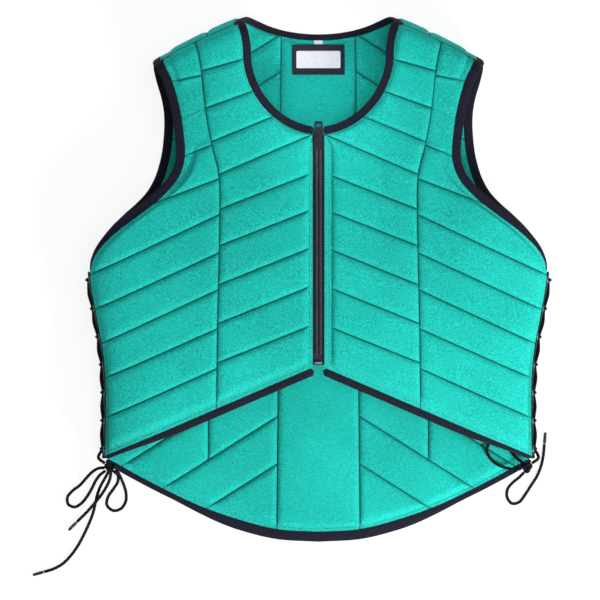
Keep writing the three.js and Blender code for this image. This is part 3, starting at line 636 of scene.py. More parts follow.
@dataclass(frozen=True)
class Stops:
    """Where grid lines stand from an edge: close together on a block's shoulder."""

    near: tuple[float, ...] = (0.0, 0.28, 0.65, 1.15, 1.8, 2.6, 3.6, 4.8, 6.6)
    row_height: float = 36.0
    fill_rows: int = 8
    fit: float = 0.8

    def along(self, count: int, extra: list[float]) -> Array:
        """Row places from 0 to count, dense at each seam, with some more stops."""
        shares = np.array(self.near) / self.row_height
        middle = np.linspace(shares[-1], 1 - shares[-1], self.fill_rows)[1:-1]
        one = np.concatenate([shares, middle, (1 - shares)[:0:-1]])
        rows = np.concatenate([*(k + one for k in range(count)), [count], extra])
        rows = np.unique(np.round(rows, 6))
        keep = np.concatenate([[True], np.diff(rows) > 0.002])
        return rows[keep]

    def across(self, low: Array, high: Array, margin_low: Array, margin_high: Array,
               fill: int) -> Array:
        """Columns between two edges.

        Args:
            low: the inner edge of each row.
            high: the outer edge of each row.
            margin_low: width of the flat margin at the inner edge.
            margin_high: the same at the outer edge.
            fill: how many columns stand between the shoulders.

        Returns:
            Distances from the centre line, indexed by row and column.
        """
        near = np.array(self.near)
        room = high - low
        wide = margin_low + margin_high + 2 * near[-1]
        fit = np.minimum(1, self.fit * room / wide)[:, None]
        a = low[:, None] + fit * (margin_low[:, None] + near)
        b = high[:, None] - fit * (margin_high[:, None] + near)
        flat_a = low[:, None] + fit * margin_low[:, None] * np.array([0, 0.3, 0.65])
        flat_b = high[:, None] - fit * margin_high[:, None] * np.array([0, 0.3, 0.65])
        t = np.linspace(0, 1, fill)[1:-1]
        middle = a[:, -1:] + (b[:, -1:] - a[:, -1:]) * t
        return np.concatenate([flat_a, a, middle, b[:, ::-1], flat_b[:, ::-1]], 1)


class Blocks:
    """What the panels share: rows of foam blocks, told by the seams above and below each."""

    count: int
    row_lean: float

    def row_seam(self, k: Array, d: Array) -> Array:
        """The height of row seam k."""
        raise NotImplementedError

    def row_number(self, r: Array) -> Array:
        """The row that a row place lies in."""
        return np.minimum(self.count - 1, np.floor(r)).astype(int)

    def height(self, r: Array, d: Array) -> Array:
        """v on the row place r, linear between the row seams on both sides of it."""
        k = self.row_number(r)
        low, high = self.row_seam(k, d), self.row_seam(k + 1, d)
        return low + (high - low) * (r - k)

    def from_seams(self, r: Array, d: Array, v: Array) -> tuple[Array, Array]:
        """The distances from the row's upper and lower seam."""
        k = self.row_number(r)
        return ((self.row_seam(k, d) - v) * self.row_lean,
                (v - self.row_seam(k + 1, d)) * self.row_lean)

    def row_through(self, d: float, v: float) -> float:
        """The row place that passes a place on the cloth."""
        return reach_one(lambda r: self.height(r, np.array(d)) > v, 0, self.count)


@dataclass
class FrontPanel(Blocks):
    """A column of foam blocks on one half of the front, worked out at x = +d."""

    column: Column
    side: Side
    zip_margin: float = 5.5
    neck_margin: float = 1.2
    arm_margin: float = 11.0
    shoulder_margin: float = 7.0
    side_margin: float = 3.5
    hem_margin: float = 7.0
    blend_up: float = 12.0
    arm_blend: float = 40.0
    shoulder_from: float = 190.0
    shoulder_blend: float = 30.0
    row_lean: float = 0.92
    soft_rows: tuple[float, float] = (1.0, 3.0)
    soft_half: float = 3.1
    soft_blend: float = 6.0
    soft_from: float = 3.0
    soft_fade: float = 0.85
    lip: float = 0.6
    lip_inset: float = 0.9
    lip_half: float = 0.7
    zip_fade: float = 4.0
    laced_below: float = 60.0
    laced_blend: float = 70.0
    side_shade: float = 0.42
    side_band: float = 4.2
    neck_stops: tuple[float, ...] = (0, 0.02, 0.05, 0.09, 0.15, 0.23, 0.33, 0.45)
    arm_stops: tuple[float, ...] = (-0.3, -0.2, -0.1, 0, 0.1)
    fill: int = 22
    # Creases beside the armhole: height, slope, how far each stands out and its half width
    crease_rows: tuple[tuple[float, float, float, float], ...] = (
        (196, 0.62, 0.55, 3.2), (172, 0.75, -0.45, 2.6), (183, 0.45, -0.35, 2.2))
    crease_start: float = 150.0
    crease_centre: tuple[float, float] = (146.0, 184.0)
    crease_reach: tuple[float, float] = (20.0, 26.0)
    relief: Relief = Relief()
    stops: Stops = Stops()

    @property
    def count(self) -> int:
        """How many rows of blocks."""
        return len(FORM.channels) + 1

    def row_seam(self, k: Array, d: Array) -> Array:
        """The height of the column's row seam k."""
        return FORM.front_line(self.column, k, d)

    def edges(self, r: Array) -> tuple[Array, Array, Array]:
        """The neck or zip edge, the princess seam and the outer edge of each row."""
        zero, wide = np.zeros(len(r)), np.full(len(r), FORM.chest_half * 1.1)
        split = reach(lambda d: d < FORM.princess(self.height(r, d)), zero, zero + FORM.chest_half)
        inner = reach(lambda d: d < np.maximum(FORM.zip_half, FORM.front_neck(self.height(r, d))),
                      zero, split)
        outer = reach(lambda d: d < FORM.front_out(self.height(r, d)), split, wide)
        return inner, split, outer

    @property
    def neck_corner(self) -> float:
        """The height where the neck meets the zip."""
        return reach_one(lambda v: FORM.front_neck(v) < FORM.zip_half, 0, FORM.length / 2)

    def rows(self) -> Array:
        """Row places, with more of them round the neck's corner or the armhole's end."""
        if self.column is Column.CENTRE:
            corner = self.row_through(FORM.zip_half, self.neck_corner)
            return self.stops.along(self.count, list(corner - np.array(self.neck_stops)))
        corner = self.row_through(FORM.arm_side, FORM.arm_base)
        return self.stops.along(self.count, list(corner + np.array(self.arm_stops)))

    def half(self, r: Array, d: Array, low: Array, high: Array,
             margins: tuple[Array, Array]) -> tuple[Array, Array]:
        """Half the thickness, and the mask of painted shade.

        Each edge and row seam gives a rise from its own distance; their product rounds the corners.

        Args:
            r: row places, as a column.
            d: distances from the centre line.
            low: inner edge of each row, as a column.
            high: outer edge of each row, as a column.
            margins: flat widths at the two edges, as columns.

        Returns:
            Half the thickness and the mask of painted shade, both indexed as d.
        """
        v = self.height(r, d)
        above, below = self.from_seams(r, d, v)
        lowest = self.row_number(r) == self.count - 1
        hem = np.where(lowest, self.hem_margin, 0)
        seam = np.where(lowest, above, np.minimum(above, below))
        rise = (self.relief.rise(above) * self.relief.rise(below - hem)
                * self.relief.rise(d - low - margins[0]) * self.relief.rise(high - d - margins[1]))
        inside = np.minimum(np.minimum(above, below), np.minimum(d - low, high - d))
        crown = self.relief.crown * np.exp(-np.maximum(0, inside) / self.relief.crown_span)
        # The mask marks painted shade: down each seam's groove, and on the side column a band where
        # the pad turns down at the laced edge
        mask = self.relief.groove_mask(seam)
        if self.column is Column.SIDE:
            mask = np.maximum(mask, self.relief.groove_mask(d - low))
            laced = smooth_step((FORM.arm_base - self.laced_below - v) / self.laced_blend)
            band = np.exp(-(((high - d) / self.side_band) ** 4))
            mask = np.maximum(mask, self.side_shade * laced * band)
            first, last = self.soft_rows
            soft = smooth_step((r - first) * self.soft_blend)
            soft = soft * smooth_step((last - r) * self.soft_blend)
            puff = (self.soft_half - self.relief.thin) / (self.relief.full - self.relief.thin)
            puff = puff * self.relief.rise(d - low) * self.relief.rise(high - d)
            rise = rise * (1 - soft) + soft * puff
            mask = mask * (1 - self.soft_fade * soft * (d - low > self.soft_from))
        else:
            mask = np.maximum(mask, self.relief.groove_mask(high - d))
            at_zip = 1 - smooth_step((v - self.neck_corner + self.blend_up) / self.blend_up)
            inset = d - low - margins[0] + self.zip_fade / 2
            mask = mask * (1 - (1 - smooth_step(inset / self.zip_fade)) * at_zip)
        half = self.relief.half(rise) - crown * rise
        if self.column is Column.CENTRE:
            at_zip = v < self.neck_corner
            bell = np.exp(-(((d - low - self.lip_inset) / self.lip_half) ** 2))
            half = half + self.lip * at_zip * bell
        return half, mask

    def grid(self) -> tuple[Array, Array, Array, Array, Array]:
        """Row places, distances, heights, half thicknesses and painted-shade masks of the whole
        panel.
        """
        r = self.rows()
        inner, split, outer = self.edges(r)
        gap = FORM.seam_touch
        if self.column is Column.CENTRE:
            low, high = inner + gap, split - gap
            up = self.height(r, inner)
            share = smooth_step((self.neck_corner - up) / self.blend_up)
            margin_low = self.neck_margin + (self.zip_margin - self.neck_margin) * share
            margin_high = np.zeros(len(r))
        else:
            low, high = split + gap, outer
            up = self.height(r, outer)
            arm = smooth_step((up - FORM.arm_base) / self.arm_blend)
            top = smooth_step((up - self.shoulder_from) / self.shoulder_blend)
            margin_low = np.zeros(len(r))
            margin_high = self.side_margin + (self.arm_margin - self.side_margin) * arm
            margin_high = margin_high + (self.shoulder_margin - self.arm_margin) * top
        d = self.stops.across(low, high, margin_low, margin_high, self.fill)
        columns = tuple(x[:, None] for x in (r, low, high, margin_low, margin_high))
        half, mask = self.half(columns[0], d, columns[1], columns[2], (columns[3], columns[4]))
        return r, d, self.height(columns[0], d), half, mask

    def creases(self, d: Array, v: Array) -> Array:
        """Faint slanting pulls in the soft cloth beside the armhole: bells across slanted lines."""
        if self.column is Column.CENTRE:
            return np.zeros_like(d)
        total = np.zeros_like(d)
        for up, slope, height, width in self.crease_rows:
            line = v - up - slope * (self.crease_start - d)
            total = total + height * np.exp(-((line / width) ** 2))
        (out, up), (wide, tall) = self.crease_centre, self.crease_reach
        return total * (np.exp(-(((v - up) / tall) ** 2)) * np.exp(-(((d - out) / wide) ** 2)))

    def shape(self) -> Shape:
        """The closed padded panel, both faces and its rim."""
        _, d, v, half, mask = self.grid()
        sign = self.side.value
        at = FORM.point(1, d, v)
        out = FORM.outward(1, d, v)
        lift = waviness(d, v,
                        sign) * smooth_step((half - self.relief.thin) / 3) + self.creases(d, v)
        top = at + out * (half + lift)[..., None]
        under = at - out * half[..., None]
        return slab(top, under, np.stack([d, v], -1), {"groove": mask}).on(self.side)

    def edge(self, r: Array, outer: bool) -> Edge:
        """The run of cells on the inner or outer edge at some row places."""
        inner, split, rim = self.edges(r)
        gap = FORM.seam_touch
        d = rim if outer else inner + gap
        if outer and self.column is Column.CENTRE:
            d = split - gap
        v = self.height(r, d)
        return Edge.cells(1, d, v)


@dataclass
class BackPanel(Blocks):
    """One half of the back beside the spine column, with its diagonals and one upright seam."""

    side: Side
    arm_margin: float = 11.0
    side_margin: float = 2.5
    hem_margin: float = 4.0
    neck_margin: float = 0.8
    arm_blend: float = 40.0
    row_lean: float = 0.85
    seam_share: float = 0.7
    seam_rows: int = len(FORM.back_rows) - 1
    roll_flat: float = 0.6
    roll_rows: tuple[float, float] = (0.5, 1.0)
    tail_blend: float = 4.0
    corner_stops: tuple[float, ...] = (-0.12, -0.06, 0, 0.06, 0.12)
    fill: int = 14
    relief: Relief = Relief()
    stops: Stops = Stops(row_height=50.0, fill_rows=9)

    @property
    def count(self) -> int:
        """How many rows of blocks."""
        return len(FORM.back_rows) + 1

    def row_seam(self, k: Array, d: Array) -> Array:
        """The height of diagonal k."""
        return FORM.back_line(k, d)

    def edges(self, r: Array) -> tuple[Array, Array]:
        """The spine or neck edge, and the arm, side or tail edge of each row."""
        zero, wide = np.zeros(len(r)), np.full(len(r), FORM.chest_half * 1.1)

        def before_spine(d: Array) -> Array:
            """True inside the spine column or the neck."""
            v = self.height(r, d)
            return d < np.maximum(FORM.spine_seam(v), FORM.back_neck(v))

        def on_back(d: Array) -> Array:
            """True on the cloth of the back."""
            v = self.height(r, d)
            return (d < FORM.back_out(v)) & (v > FORM.tail_at(d))

        inner = reach(before_spine, zero, zero + FORM.chest_half)
        return inner, reach(on_back, inner, wide)

    @property
    def spine_corner(self) -> float:
        """The row place where the neck meets the spine seam."""
        top = reach_one(lambda v: FORM.back_neck(v) < FORM.spine_half, 0, FORM.length)
        return self.row_through(FORM.spine_half, top)

    @property
    def tail_corner(self) -> float:
        """The height where the laced side meets the tail hem."""
        return reach_one(lambda v: v < FORM.tail_at(FORM.side_out(v)), -FORM.length / 2, 0)

    def side_rows(self) -> tuple[float, float]:
        """The row places where the laced side begins and ends."""
        top = self.row_through(FORM.arm_side, FORM.arm_base)
        corner = self.tail_corner
        return top, self.row_through(float(FORM.side_out(np.array(corner))), corner)

    def shape(self) -> Shape:
        """The closed padded panel, both faces and its rim."""
        corners = [self.spine_corner, *self.side_rows()]
        extra = [c + step for c in corners for step in self.corner_stops]
        r = self.stops.along(self.count, [x for x in extra if 0 < x < self.count])
        inner, outer = self.edges(r)
        low = inner + FORM.seam_touch
        middle = np.minimum(FORM.back_seam, inner + (outer - inner) * self.seam_share)
        up = self.height(r, outer)
        zero = np.zeros(len(r))
        neck = np.where(FORM.back_neck(self.height(r, inner)) >= FORM.spine_half, self.neck_margin,
                        0)
        arm = smooth_step((up - FORM.arm_base) / self.arm_blend)
        tail = smooth_step((self.tail_corner - up) / self.tail_blend + 0.5)
        margin = self.side_margin + (self.arm_margin - self.side_margin) * arm
        margin = margin + (self.hem_margin - self.side_margin) * tail
        first = self.stops.across(low, middle, neck, zero, self.fill)
        second = self.stops.across(middle, outer, zero, margin, self.fill)
        d = np.concatenate([first, second[:, 1:]], 1)
        c = r[:, None]
        v = self.height(c, d)
        above, below = self.from_seams(c, d, v)
        unsewn = self.row_number(c) >= self.seam_rows
        upright = np.abs(d - middle[:, None]) + np.where(unsewn, FORM.chest_half, 0)
        hem = np.maximum(0, (v - FORM.tail_at(d)) * self.row_lean - self.hem_margin)
        rise = (self.relief.rise(above) * self.relief.rise(below) * self.relief.rise(upright)
                * self.relief.rise(d - low[:, None] - neck[:, None])
                * self.relief.rise(outer[:, None] - d - margin[:, None]) * self.relief.rise(hem))
        seam = np.minimum(np.minimum(above, below), np.minimum(upright, d - low[:, None]))
        flat_to, full_from = self.roll_rows
        below_roll = smooth_step((c - flat_to) / (full_from - flat_to))
        flat = 1 - self.roll_flat * (1 - below_roll)
        half = self.relief.half(rise * flat)
        at, out = FORM.point(-1, d, v), FORM.outward(-1, d, v)
        lift = waviness(d, v, self.side.value + 3) * smooth_step((half - self.relief.thin) / 3)
        top = at - out * (half + np.minimum(0, lift))[..., None]
        under = at + out * half[..., None]
        # The mask marks painted shade down each seam's groove
        mask = self.relief.groove_mask(seam)
        return slab(top, under, np.stack([d, v], -1), {"groove": mask}).on(self.side)

    def edge(self, r: Array, outer: bool) -> Edge:
        """The run of cells on the inner or outer edge at some row places."""
        inner, rim = self.edges(r)
        d = rim if outer else inner + FORM.seam_touch
        v = self.height(r, d)
        return Edge.cells(-1, d, v)


@dataclass
class SpinePanel:
    """The smooth long pad down the middle of the back."""

    rows: int = 70
    fill: int = 18
    end_margin: float = 4.0
    tail_share: float = 0.9
    top_share: float = 0.45
    relief: Relief = Relief()
    stops: Stops = Stops()

    def half_width(self, t: Array) -> Array:
        """Half the column at a share of its length from the neck."""
        v = (self.top_share - self.tail_share * t) * FORM.length
        return FORM.spine_seam(v) - FORM.seam_touch

    def top(self, d: Array) -> Array:
        """The neck's curve at the column's top, the inverse of its quarter ellipse."""
        half = FORM.neck_half + FORM.neck_flare
        return FORM.back_neck_base + FORM.back_neck_height * (1 - np.sqrt(1 - (d / half) ** 2))

    def place(self, share: Array, t: Array) -> tuple[Array, Array, Array, Array]:
        """Places on the column: share is -1 to 1 across it, t is 0 at the neck and 1 at the hem."""
        d = np.abs(share) * self.half_width(t)
        v = self.top(d) + (FORM.tail_at(d) - self.top(d)) * t
        flip = np.stack(np.broadcast_arrays(np.where(share < 0, -1.0, 1.0), 1.0, 1.0), -1)
        return FORM.point(-1, d, v) * flip, FORM.outward(-1, d, v) * flip, d, v

    def shape(self) -> Shape:
        """The closed padded column."""
        near = np.array(self.stops.near)
        ends = np.concatenate([near[:1], near + self.end_margin]) / FORM.length
        between_ends = np.linspace(ends[-1], 1 - ends[-1], self.rows)
        t = np.unique(np.concatenate([ends, between_ends, 1 - ends]))
        side = near / FORM.spine_half
        middle = np.linspace(-1 + side[-1], 1 - side[-1], self.fill)[1:-1]
        share = np.concatenate([-1 + side, middle, (1 - side)[::-1]])
        at, out, d, v = self.place(share[None, :], t[:, None])
        room = self.half_width(t)[:, None] - d
        ends_in = np.minimum(t[:, None], 1 - t[:, None]) * FORM.length - self.end_margin
        rise = self.relief.rise(room) * self.relief.rise(ends_in)
        half = self.relief.half(rise)
        sag = np.minimum(0, waviness(share[None, :] * 40, v, 5))
        sag = sag * smooth_step((half - self.relief.thin) / 3)
        top = at - out * (half + sag)[..., None]
        cloth = np.stack([np.broadcast_to(share[None, :] * FORM.spine_half, d.shape), v], -1)
        # The mask marks painted shade along the column's sewn edges
        return slab(top, at + out * half[..., None], cloth,
                    {"groove": self.relief.groove_mask(room)})

    def edge(self, t: float, count: int = 41) -> Edge:
        """The run of cells across the column at its neck or its hem, from right to left."""
        share = np.linspace(1, -1, count)
        at, out, d, v = self.place(share, np.full(count, t))
        return Edge(at, out, d, v)


@dataclass(frozen=True)
class Binding:
    """A folded binding, a flattened round section carried along an edge, just outside it."""

    width: float = 11.0
    thickness: float = 4.4
    gap: float = -0.9
    around: int = 22
    flatness: float = 0.62
    outer_share: float = 0.62
    end_round: float = 3.0
    ripple: float = 0.12
    ripple_pitch: float = 9.0

    def shape(self, edge: Edge, towards: tuple[float, float, float],
              widths: Array | None = None) -> Shape:
        """The binding along a run.

        Args:
            edge: the run of cells it is sewn round.
            towards: a direction off the padding at the run's start.
            widths: its width at each cell, or None for the plain width.

        Returns:
            The closed band: its ends shrink as a quarter circle, and it ripples a little.
        """
        off = edge.off(towards)
        angle = np.linspace(0, 2 * np.pi, self.around, endpoint=False)
        u = 0.5 - 0.5 * np.sign(np.cos(angle)) * np.abs(np.cos(angle)) ** self.flatness
        lift = np.sign(np.sin(angle)) * np.abs(np.sin(angle)) ** self.flatness
        lift = lift * (1 - (1 - self.outer_share) * u) / 2
        along = run_of(edge.at)
        to_end = np.minimum(along, along[-1] - along)
        tip = np.sqrt(np.clip(1 - (1 - np.clip(to_end / self.end_round, 0, 1)) ** 2, 0.02, 1))
        wide = (np.full(len(along), self.width) if widths is None else widths)[:, None]
        ripple = self.ripple * np.sin(2 * np.pi * along / self.ripple_pitch)
        wave = 1 + ripple[:, None] * u * (1 - u)
        across = self.gap + wide * (0.5 + (u - 0.5) * tip[:, None])
        high = lift * self.thickness * tip[:, None] * wave
        rings = (edge.at[:, None] + off[:, None] * across[..., None]
                 + edge.out[:, None] * high[..., None])
        steps = np.hypot(np.diff(u) * self.width, np.diff(lift) * self.thickness)
        wrapped = np.concatenate([[0], np.cumsum(steps)])
        cloth = np.stack(np.broadcast_arrays(wrapped[None, :], along[:, None]), -1)
        return loft(rings, cloth, {"inner": np.broadcast_to(1 - u, across.shape)})


@dataclass(frozen=True)
class Route:
    """A smooth line through given points: a centripetal Catmull-Rom curve."""

    points: Array

    def line(self, step: float) -> Array:
        """Points along the curve at an even pitch.

        Args:
            step: the pitch in millimetres.

        Returns:
            The points. Each span is a cubic whose end tangents come from its neighbours, with
            knots spaced by the square root of the spans' lengths.
        """
        p = self.points
        dt = np.sqrt(np.linalg.norm(np.diff(p, axis=0), axis=1))
        chord = np.diff(p, axis=0) / dt[:, None]
        inner = chord[:-1] - (p[2:] - p[:-2]) / (dt[:-1] + dt[1:])[:, None] + chord[1:]
        tangent = np.concatenate([chord[:1], inner, chord[-1:]])
        t = np.linspace(0, 1, 40, endpoint=False)[None, :, None]
        a, b = p[:-1, None], p[1:, None]
        ta, tb = tangent[:-1, None] * dt[:, None, None], tangent[1:, None] * dt[:, None, None]
        fine = ((2 * t**3 - 3 * t**2 + 1) * a + (t**3 - 2 * t**2 + t) * ta
                + (3 * t**2 - 2 * t**3) * b + (t**3 - t**2) * tb).reshape(-1, 3)
        fine = np.concatenate([fine, p[-1:]])
        run = run_of(fine)
        at = np.linspace(0, run[-1], max(8, int(run[-1] / step)))
        return between(at, run, fine)


@dataclass(frozen=True)
class Lace:
    """A round braided lace."""

    radius: float = 1.8
    around: int = 18
    step: float = 0.8
    strands: int = 3
    braid_pitch: float = 5.4
    braid_depth: float = 0.07

    def shape(self, line: Array, reference: tuple[float, float, float],
              closed: bool = False) -> Shape:
        """The lace along a line of ring centres.

        Args:
            line: the ring centres.
            reference: a direction that the line never follows, which keeps the rings untwisted.
            closed: True where the line joins its own start.

        Returns:
            A tube whose radius swells where one of two families of helices passes.
        """
        around = np.roll(line, -1, 0) - np.roll(line, 1, 0)
        run = unit(around if closed else np.gradient(line, axis=0))
        side = unit(np.cross(run, np.array(reference)))
        up = np.cross(side, run)
        angle = np.linspace(0, 2 * np.pi, self.around, endpoint=False)[None, :]
        along = run_of(line)[:, None]
        turn = 2 * np.pi * along / self.braid_pitch
        braid = np.maximum(np.cos(self.strands * angle + turn), np.cos(self.strands * angle - turn))
        r = self.radius * (1 - self.braid_depth * (1 - braid) / 2)
        rings = (line[:, None] + side[:, None] * (r * np.cos(angle))[..., None]
                 + up[:, None] * (r * np.sin(angle))[..., None])
        cloth = np.stack(np.broadcast_arrays(angle * self.radius, along), -1)
        return loft(rings, cloth, {"braid": (braid + 1) / 2}, closed)


# Small repeated shapes


def capsule(half: tuple[float, float, float], around: int = 6, rings: int = 5,
            squareness: float = 1.0) -> Shape:
    """A closed rounded lump: a super-ellipsoid.

    Args:
        half: its half lengths along X, Y and Z.
        around: points in each ring about X.
        rings: how many rings.
        squareness: 1 for an ellipsoid, less for a squarer lump.

    Returns:
        The shape, centred on the origin.
    """
    polar = np.linspace(0.12, np.pi - 0.12, rings)[:, None]
    angle = np.linspace(0, 2 * np.pi, around, endpoint=False)[None, :]

    def squared(x: Array) -> Array:
        """A value between -1 and 1 pushed towards its ends."""
        return np.sign(x) * np.abs(x) ** squareness

    x = np.broadcast_to(squared(np.cos(polar)), (rings, around))
    y = squared(np.sin(polar)) * squared(np.cos(angle))
    z = squared(np.sin(polar)) * squared(np.sin(angle))
    points = np.stack([x, y, z], -1) * np.array(half)
    return loft(points, points[..., :2])


def ring(major: float, minor: float, around: int = 22, section: int = 8) -> Shape:
    """A torus about Z: the section circle carried round a circle."""
    a = np.linspace(0, 2 * np.pi, around, endpoint=False)[:, None]
    b = np.linspace(0, 2 * np.pi, section, endpoint=False)[None, :]
    r = major + minor * np.cos(b)
    points = np.stack(np.broadcast_arrays(r * np.cos(a), r * np.sin(a), minor * np.sin(b)), -1)
    return loft(points, points[..., :2], closed=True)


def copies(template: Shape, at: Array, x: Array, y: Array, z: Array) -> Shape:
    """A template repeated in many places.

    Args:
        template: the closed shape.
        at: the place of each copy.
        x: where each copy's own X points.
        y: where its Y points.
        z: where its Z points.

    Returns:
        All the copies in one shape.
    """
    axes = np.stack([x, y, z], 1)
    points = np.einsum("pk,nkj->npj", template.points, axes) + at[:, None]
    count, each = len(at), len(template.points)
    offsets = (np.arange(count) * each)[:, None, None]
    quads = (template.quads[None] + offsets).reshape(-1, 4)
    caps = [[i + n * each for i in cap] for n in range(count) for cap in template.caps]
    return Shape(points.reshape(-1, 3), quads, caps, np.tile(template.cloth, (count, 1)), {})


@dataclass(frozen=True)
class Stitches:
    """A row of sewn stitches, each a small lump of thread lying on the cloth."""

    pitch: float = 3.3
    length: float = 2.3
    thick: float = 0.55
    flatness: float = 0.8
    look_ahead: float = 0.8

    def row(self, line: Array, normal: Array) -> Shape:
        """Stitches along a line.

        Args:
            line: points on the cloth.
            normal: the direction off the cloth at each point.

        Returns:
            The row as one shape.
        """
        run = run_of(line)
        at = np.arange(self.pitch / 2, run[-1] - self.pitch / 2, self.pitch)
        centre = between(at, run, line)
        x = unit(between(at + self.look_ahead, run, line) - centre)
        y = unit(np.cross(unit(between(at, run, normal)), x))
        lump = capsule((self.length / 2, self.thick, self.thick * self.flatness))
        return copies(lump, centre, x, y, np.cross(x, y))


def both_sides(shape: Shape) -> Shape:
    """A shape and its mirror image in one mesh."""
    return shape.turned_out().plus(shape.turned_out().mirrored())


# Finishes


def linear(red: int, green: int, blue: int) -> tuple[float, float, float, float]:
    """A colour written as 0 to 255 on screen, as the shader's linear values."""
    values = [c / 255 for c in (red, green, blue)]
    return (*(c / 12.92 if c <= 0.04045 else ((c + 0.055) / 1.055) ** 2.4 for c in values), 1.0)


@dataclass
class Board:
    """A node tree being filled in."""

    tree: bpy.types.NodeTree

    def add(self, kind: str, settings: dict[str, object] | None = None,
            **inputs: object) -> bpy.types.Node:
        """Adds a node.

        Args:
            kind: the node's type name without its Shader prefix.
            settings: properties of the node.
            inputs: socket values, or output sockets to link; an underscore stands for a space.

        Returns:
            The node.
        """
        node = self.tree.nodes.new(kind)
        for name, value in (settings or {}).items():
            setattr(node, name, value)
        for name, value in inputs.items():
            key = int(name[1:]) if name[1:].isdigit() else name.replace("_", " ")
            socket = node.inputs[key]
            if isinstance(value, bpy.types.NodeSocket):
                self.tree.links.new(value, socket)
            else:
                socket.default_value = value
        return node

    def nap(self, place: bpy.types.NodeSocket, dyes: tuple[tuple[int, int, int], ...],
            speck: float, blotch: float) -> bpy.types.Node:
        """Adds the shared heathered nap.

        Args:
            place: where on the piece.
            dyes: the dark and the light colour, as 0 to 255 on screen.
            speck: how fine the specks are, per metre.
            blotch: how fine the blotches are, per metre.

        Returns:
            The group's node.
        """
        dark, light = (linear(*dye) for dye in dyes)
        return self.add("ShaderNodeGroup", {"node_tree": nap_group()}, Vector=place, Dark=dark,
                        Light=light, Speck_Scale=speck, Blotch_Scale=blotch)

    def weave(self, place: bpy.types.NodeSocket, threads: float, slant: float) -> bpy.types.Node:
        """Adds the shared crossing threads, so many per metre and leaning by a slant."""
        return self.add("ShaderNodeGroup", {"node_tree": weave_group()}, Vector=place,
                        Threads=threads, Slant=slant)

    def maths(self, operation: str, a: object, b: object = 0.0) -> bpy.types.NodeSocket:
        """The result of one sum on two values."""
        return self.add("ShaderNodeMath", {"operation": operation}, i0=a, i1=b).outputs[0]

    def blend(self, share: object, a: object, b: object) -> bpy.types.NodeSocket:
        """Colour a turning into colour b by a share."""
        node = self.add("ShaderNodeMix", {"data_type": "RGBA"}, i0=share, i6=a, i7=b)
        return node.outputs[2]

    def span(self, value: object, low: float, high: float, to_low: float = 0.0,
             to_high: float = 1.0) -> bpy.types.NodeSocket:
        """A value's range mapped onto another, held at its ends."""
        node = self.add("ShaderNodeMapRange", {}, i0=value, i1=low, i2=high, i3=to_low, i4=to_high)
        return node.outputs[0]


def effect(name: str, inputs: list[tuple[str, str, object]], outputs: list[tuple[str, str]],
           fill: Callable[[Board, dict[str, bpy.types.NodeSocket]], dict[str, bpy.types.NodeSocket]]
           ) -> bpy.types.NodeTree:
    """A node group that several finishes share.

    Args:
        name: the group's name.
        inputs: name, socket kind and default of each input.
        outputs: name and socket kind of each output.
        fill: adds the nodes, and gives each output's socket.

    Returns:
        The group, made once.
    """
    if name in bpy.data.node_groups:
        return bpy.data.node_groups[name]
    tree = bpy.data.node_groups.new(name, "ShaderNodeTree")
    for label, kind, default in inputs:
        socket = tree.interface.new_socket(label, in_out="INPUT", socket_type=kind)
        if default is not None:
            socket.default_value = default
    for label, kind in outputs:
        tree.interface.new_socket(label, in_out="OUTPUT", socket_type=kind)
    board = Board(tree)
    entry = board.add("NodeGroupInput")
    made = fill(board, {socket.name: socket for socket in entry.outputs if socket.name})
    leave = board.add("NodeGroupOutput")
    for label, socket in made.items():
        tree.links.new(socket, leave.inputs[label])
    return tree


def nap_group() -> bpy.types.NodeTree:
    """Heathered cloth: specks, softer blotches and slow drifts between a dark and a light dye."""

    def fill(board: Board,
             given: dict[str, bpy.types.NodeSocket]) -> dict[str, bpy.types.NodeSocket]:
        """The specks are fractal noise; the blotches and drifts are two wider noises."""
        place = given["Vector"]
        fine = board.add("ShaderNodeTexNoise", {}, Vector=place, Scale=given["Speck Scale"],
                         Detail=3.0, Roughness=0.65)
        wide = board.add("ShaderNodeTexNoise", {}, Vector=place, Scale=given["Blotch Scale"],
                         Detail=2.0, Roughness=0.5)
        drift = board.add("ShaderNodeTexNoise", {}, Vector=place, Scale=9.0, Detail=2.0,
                          Roughness=0.5)
        speck = board.span(fine.outputs["Fac"], 0.38, 0.62)
        blotch = board.span(wide.outputs["Fac"], 0.35, 0.65)
        slow = board.span(drift.outputs["Fac"], 0.35, 0.65)
        mixed = board.maths("ADD", board.maths("MULTIPLY", speck, 0.72),
                            board.maths("ADD", board.maths("MULTIPLY", blotch, 0.12),
                                        board.maths("MULTIPLY", slow, 0.16)))
        return {"Color": board.blend(mixed, given["Dark"], given["Light"]), "Height": speck}

    return effect("heathered_nap",
                  [("Vector", "NodeSocketVector", None), ("Dark", "NodeSocketColor", None),
                   ("Light", "NodeSocketColor", None), ("Speck Scale", "NodeSocketFloat", 900.0),
                   ("Blotch Scale", "NodeSocketFloat", 180.0)],
                  [("Color", "NodeSocketColor"), ("Height", "NodeSocketFloat")], fill)


def weave_group() -> bpy.types.NodeTree:
    """Two sets of crossing threads, as sine bands of each cloth coordinate, one over the other."""

    def fill(board: Board,
             given: dict[str, bpy.types.NodeSocket]) -> dict[str, bpy.types.NodeSocket]:
        """Threads pass over and under by the sign of a product of two sines."""
        parts = board.add("ShaderNodeSeparateXYZ", {}, Vector=given["Vector"])
        slant = board.maths("MULTIPLY", parts.outputs[1], given["Slant"])
        u = board.maths("MULTIPLY", board.maths("ADD", parts.outputs[0], slant), given["Threads"])
        v = board.maths("MULTIPLY", parts.outputs[1], given["Threads"])
        warp, weft = board.maths("SINE", u), board.maths("SINE", v)
        over = board.maths("ABSOLUTE", board.maths("MULTIPLY", warp, weft))
        return {"Height": over, "Mask": board.span(over, 0.15, 0.75)}

    return effect("crossing_threads",
                  [("Vector", "NodeSocketVector", None), ("Threads", "NodeSocketFloat", 3000.0),
                   ("Slant", "NodeSocketFloat", 0.0)],
                  [("Height", "NodeSocketFloat"), ("Mask", "NodeSocketFloat")], fill)


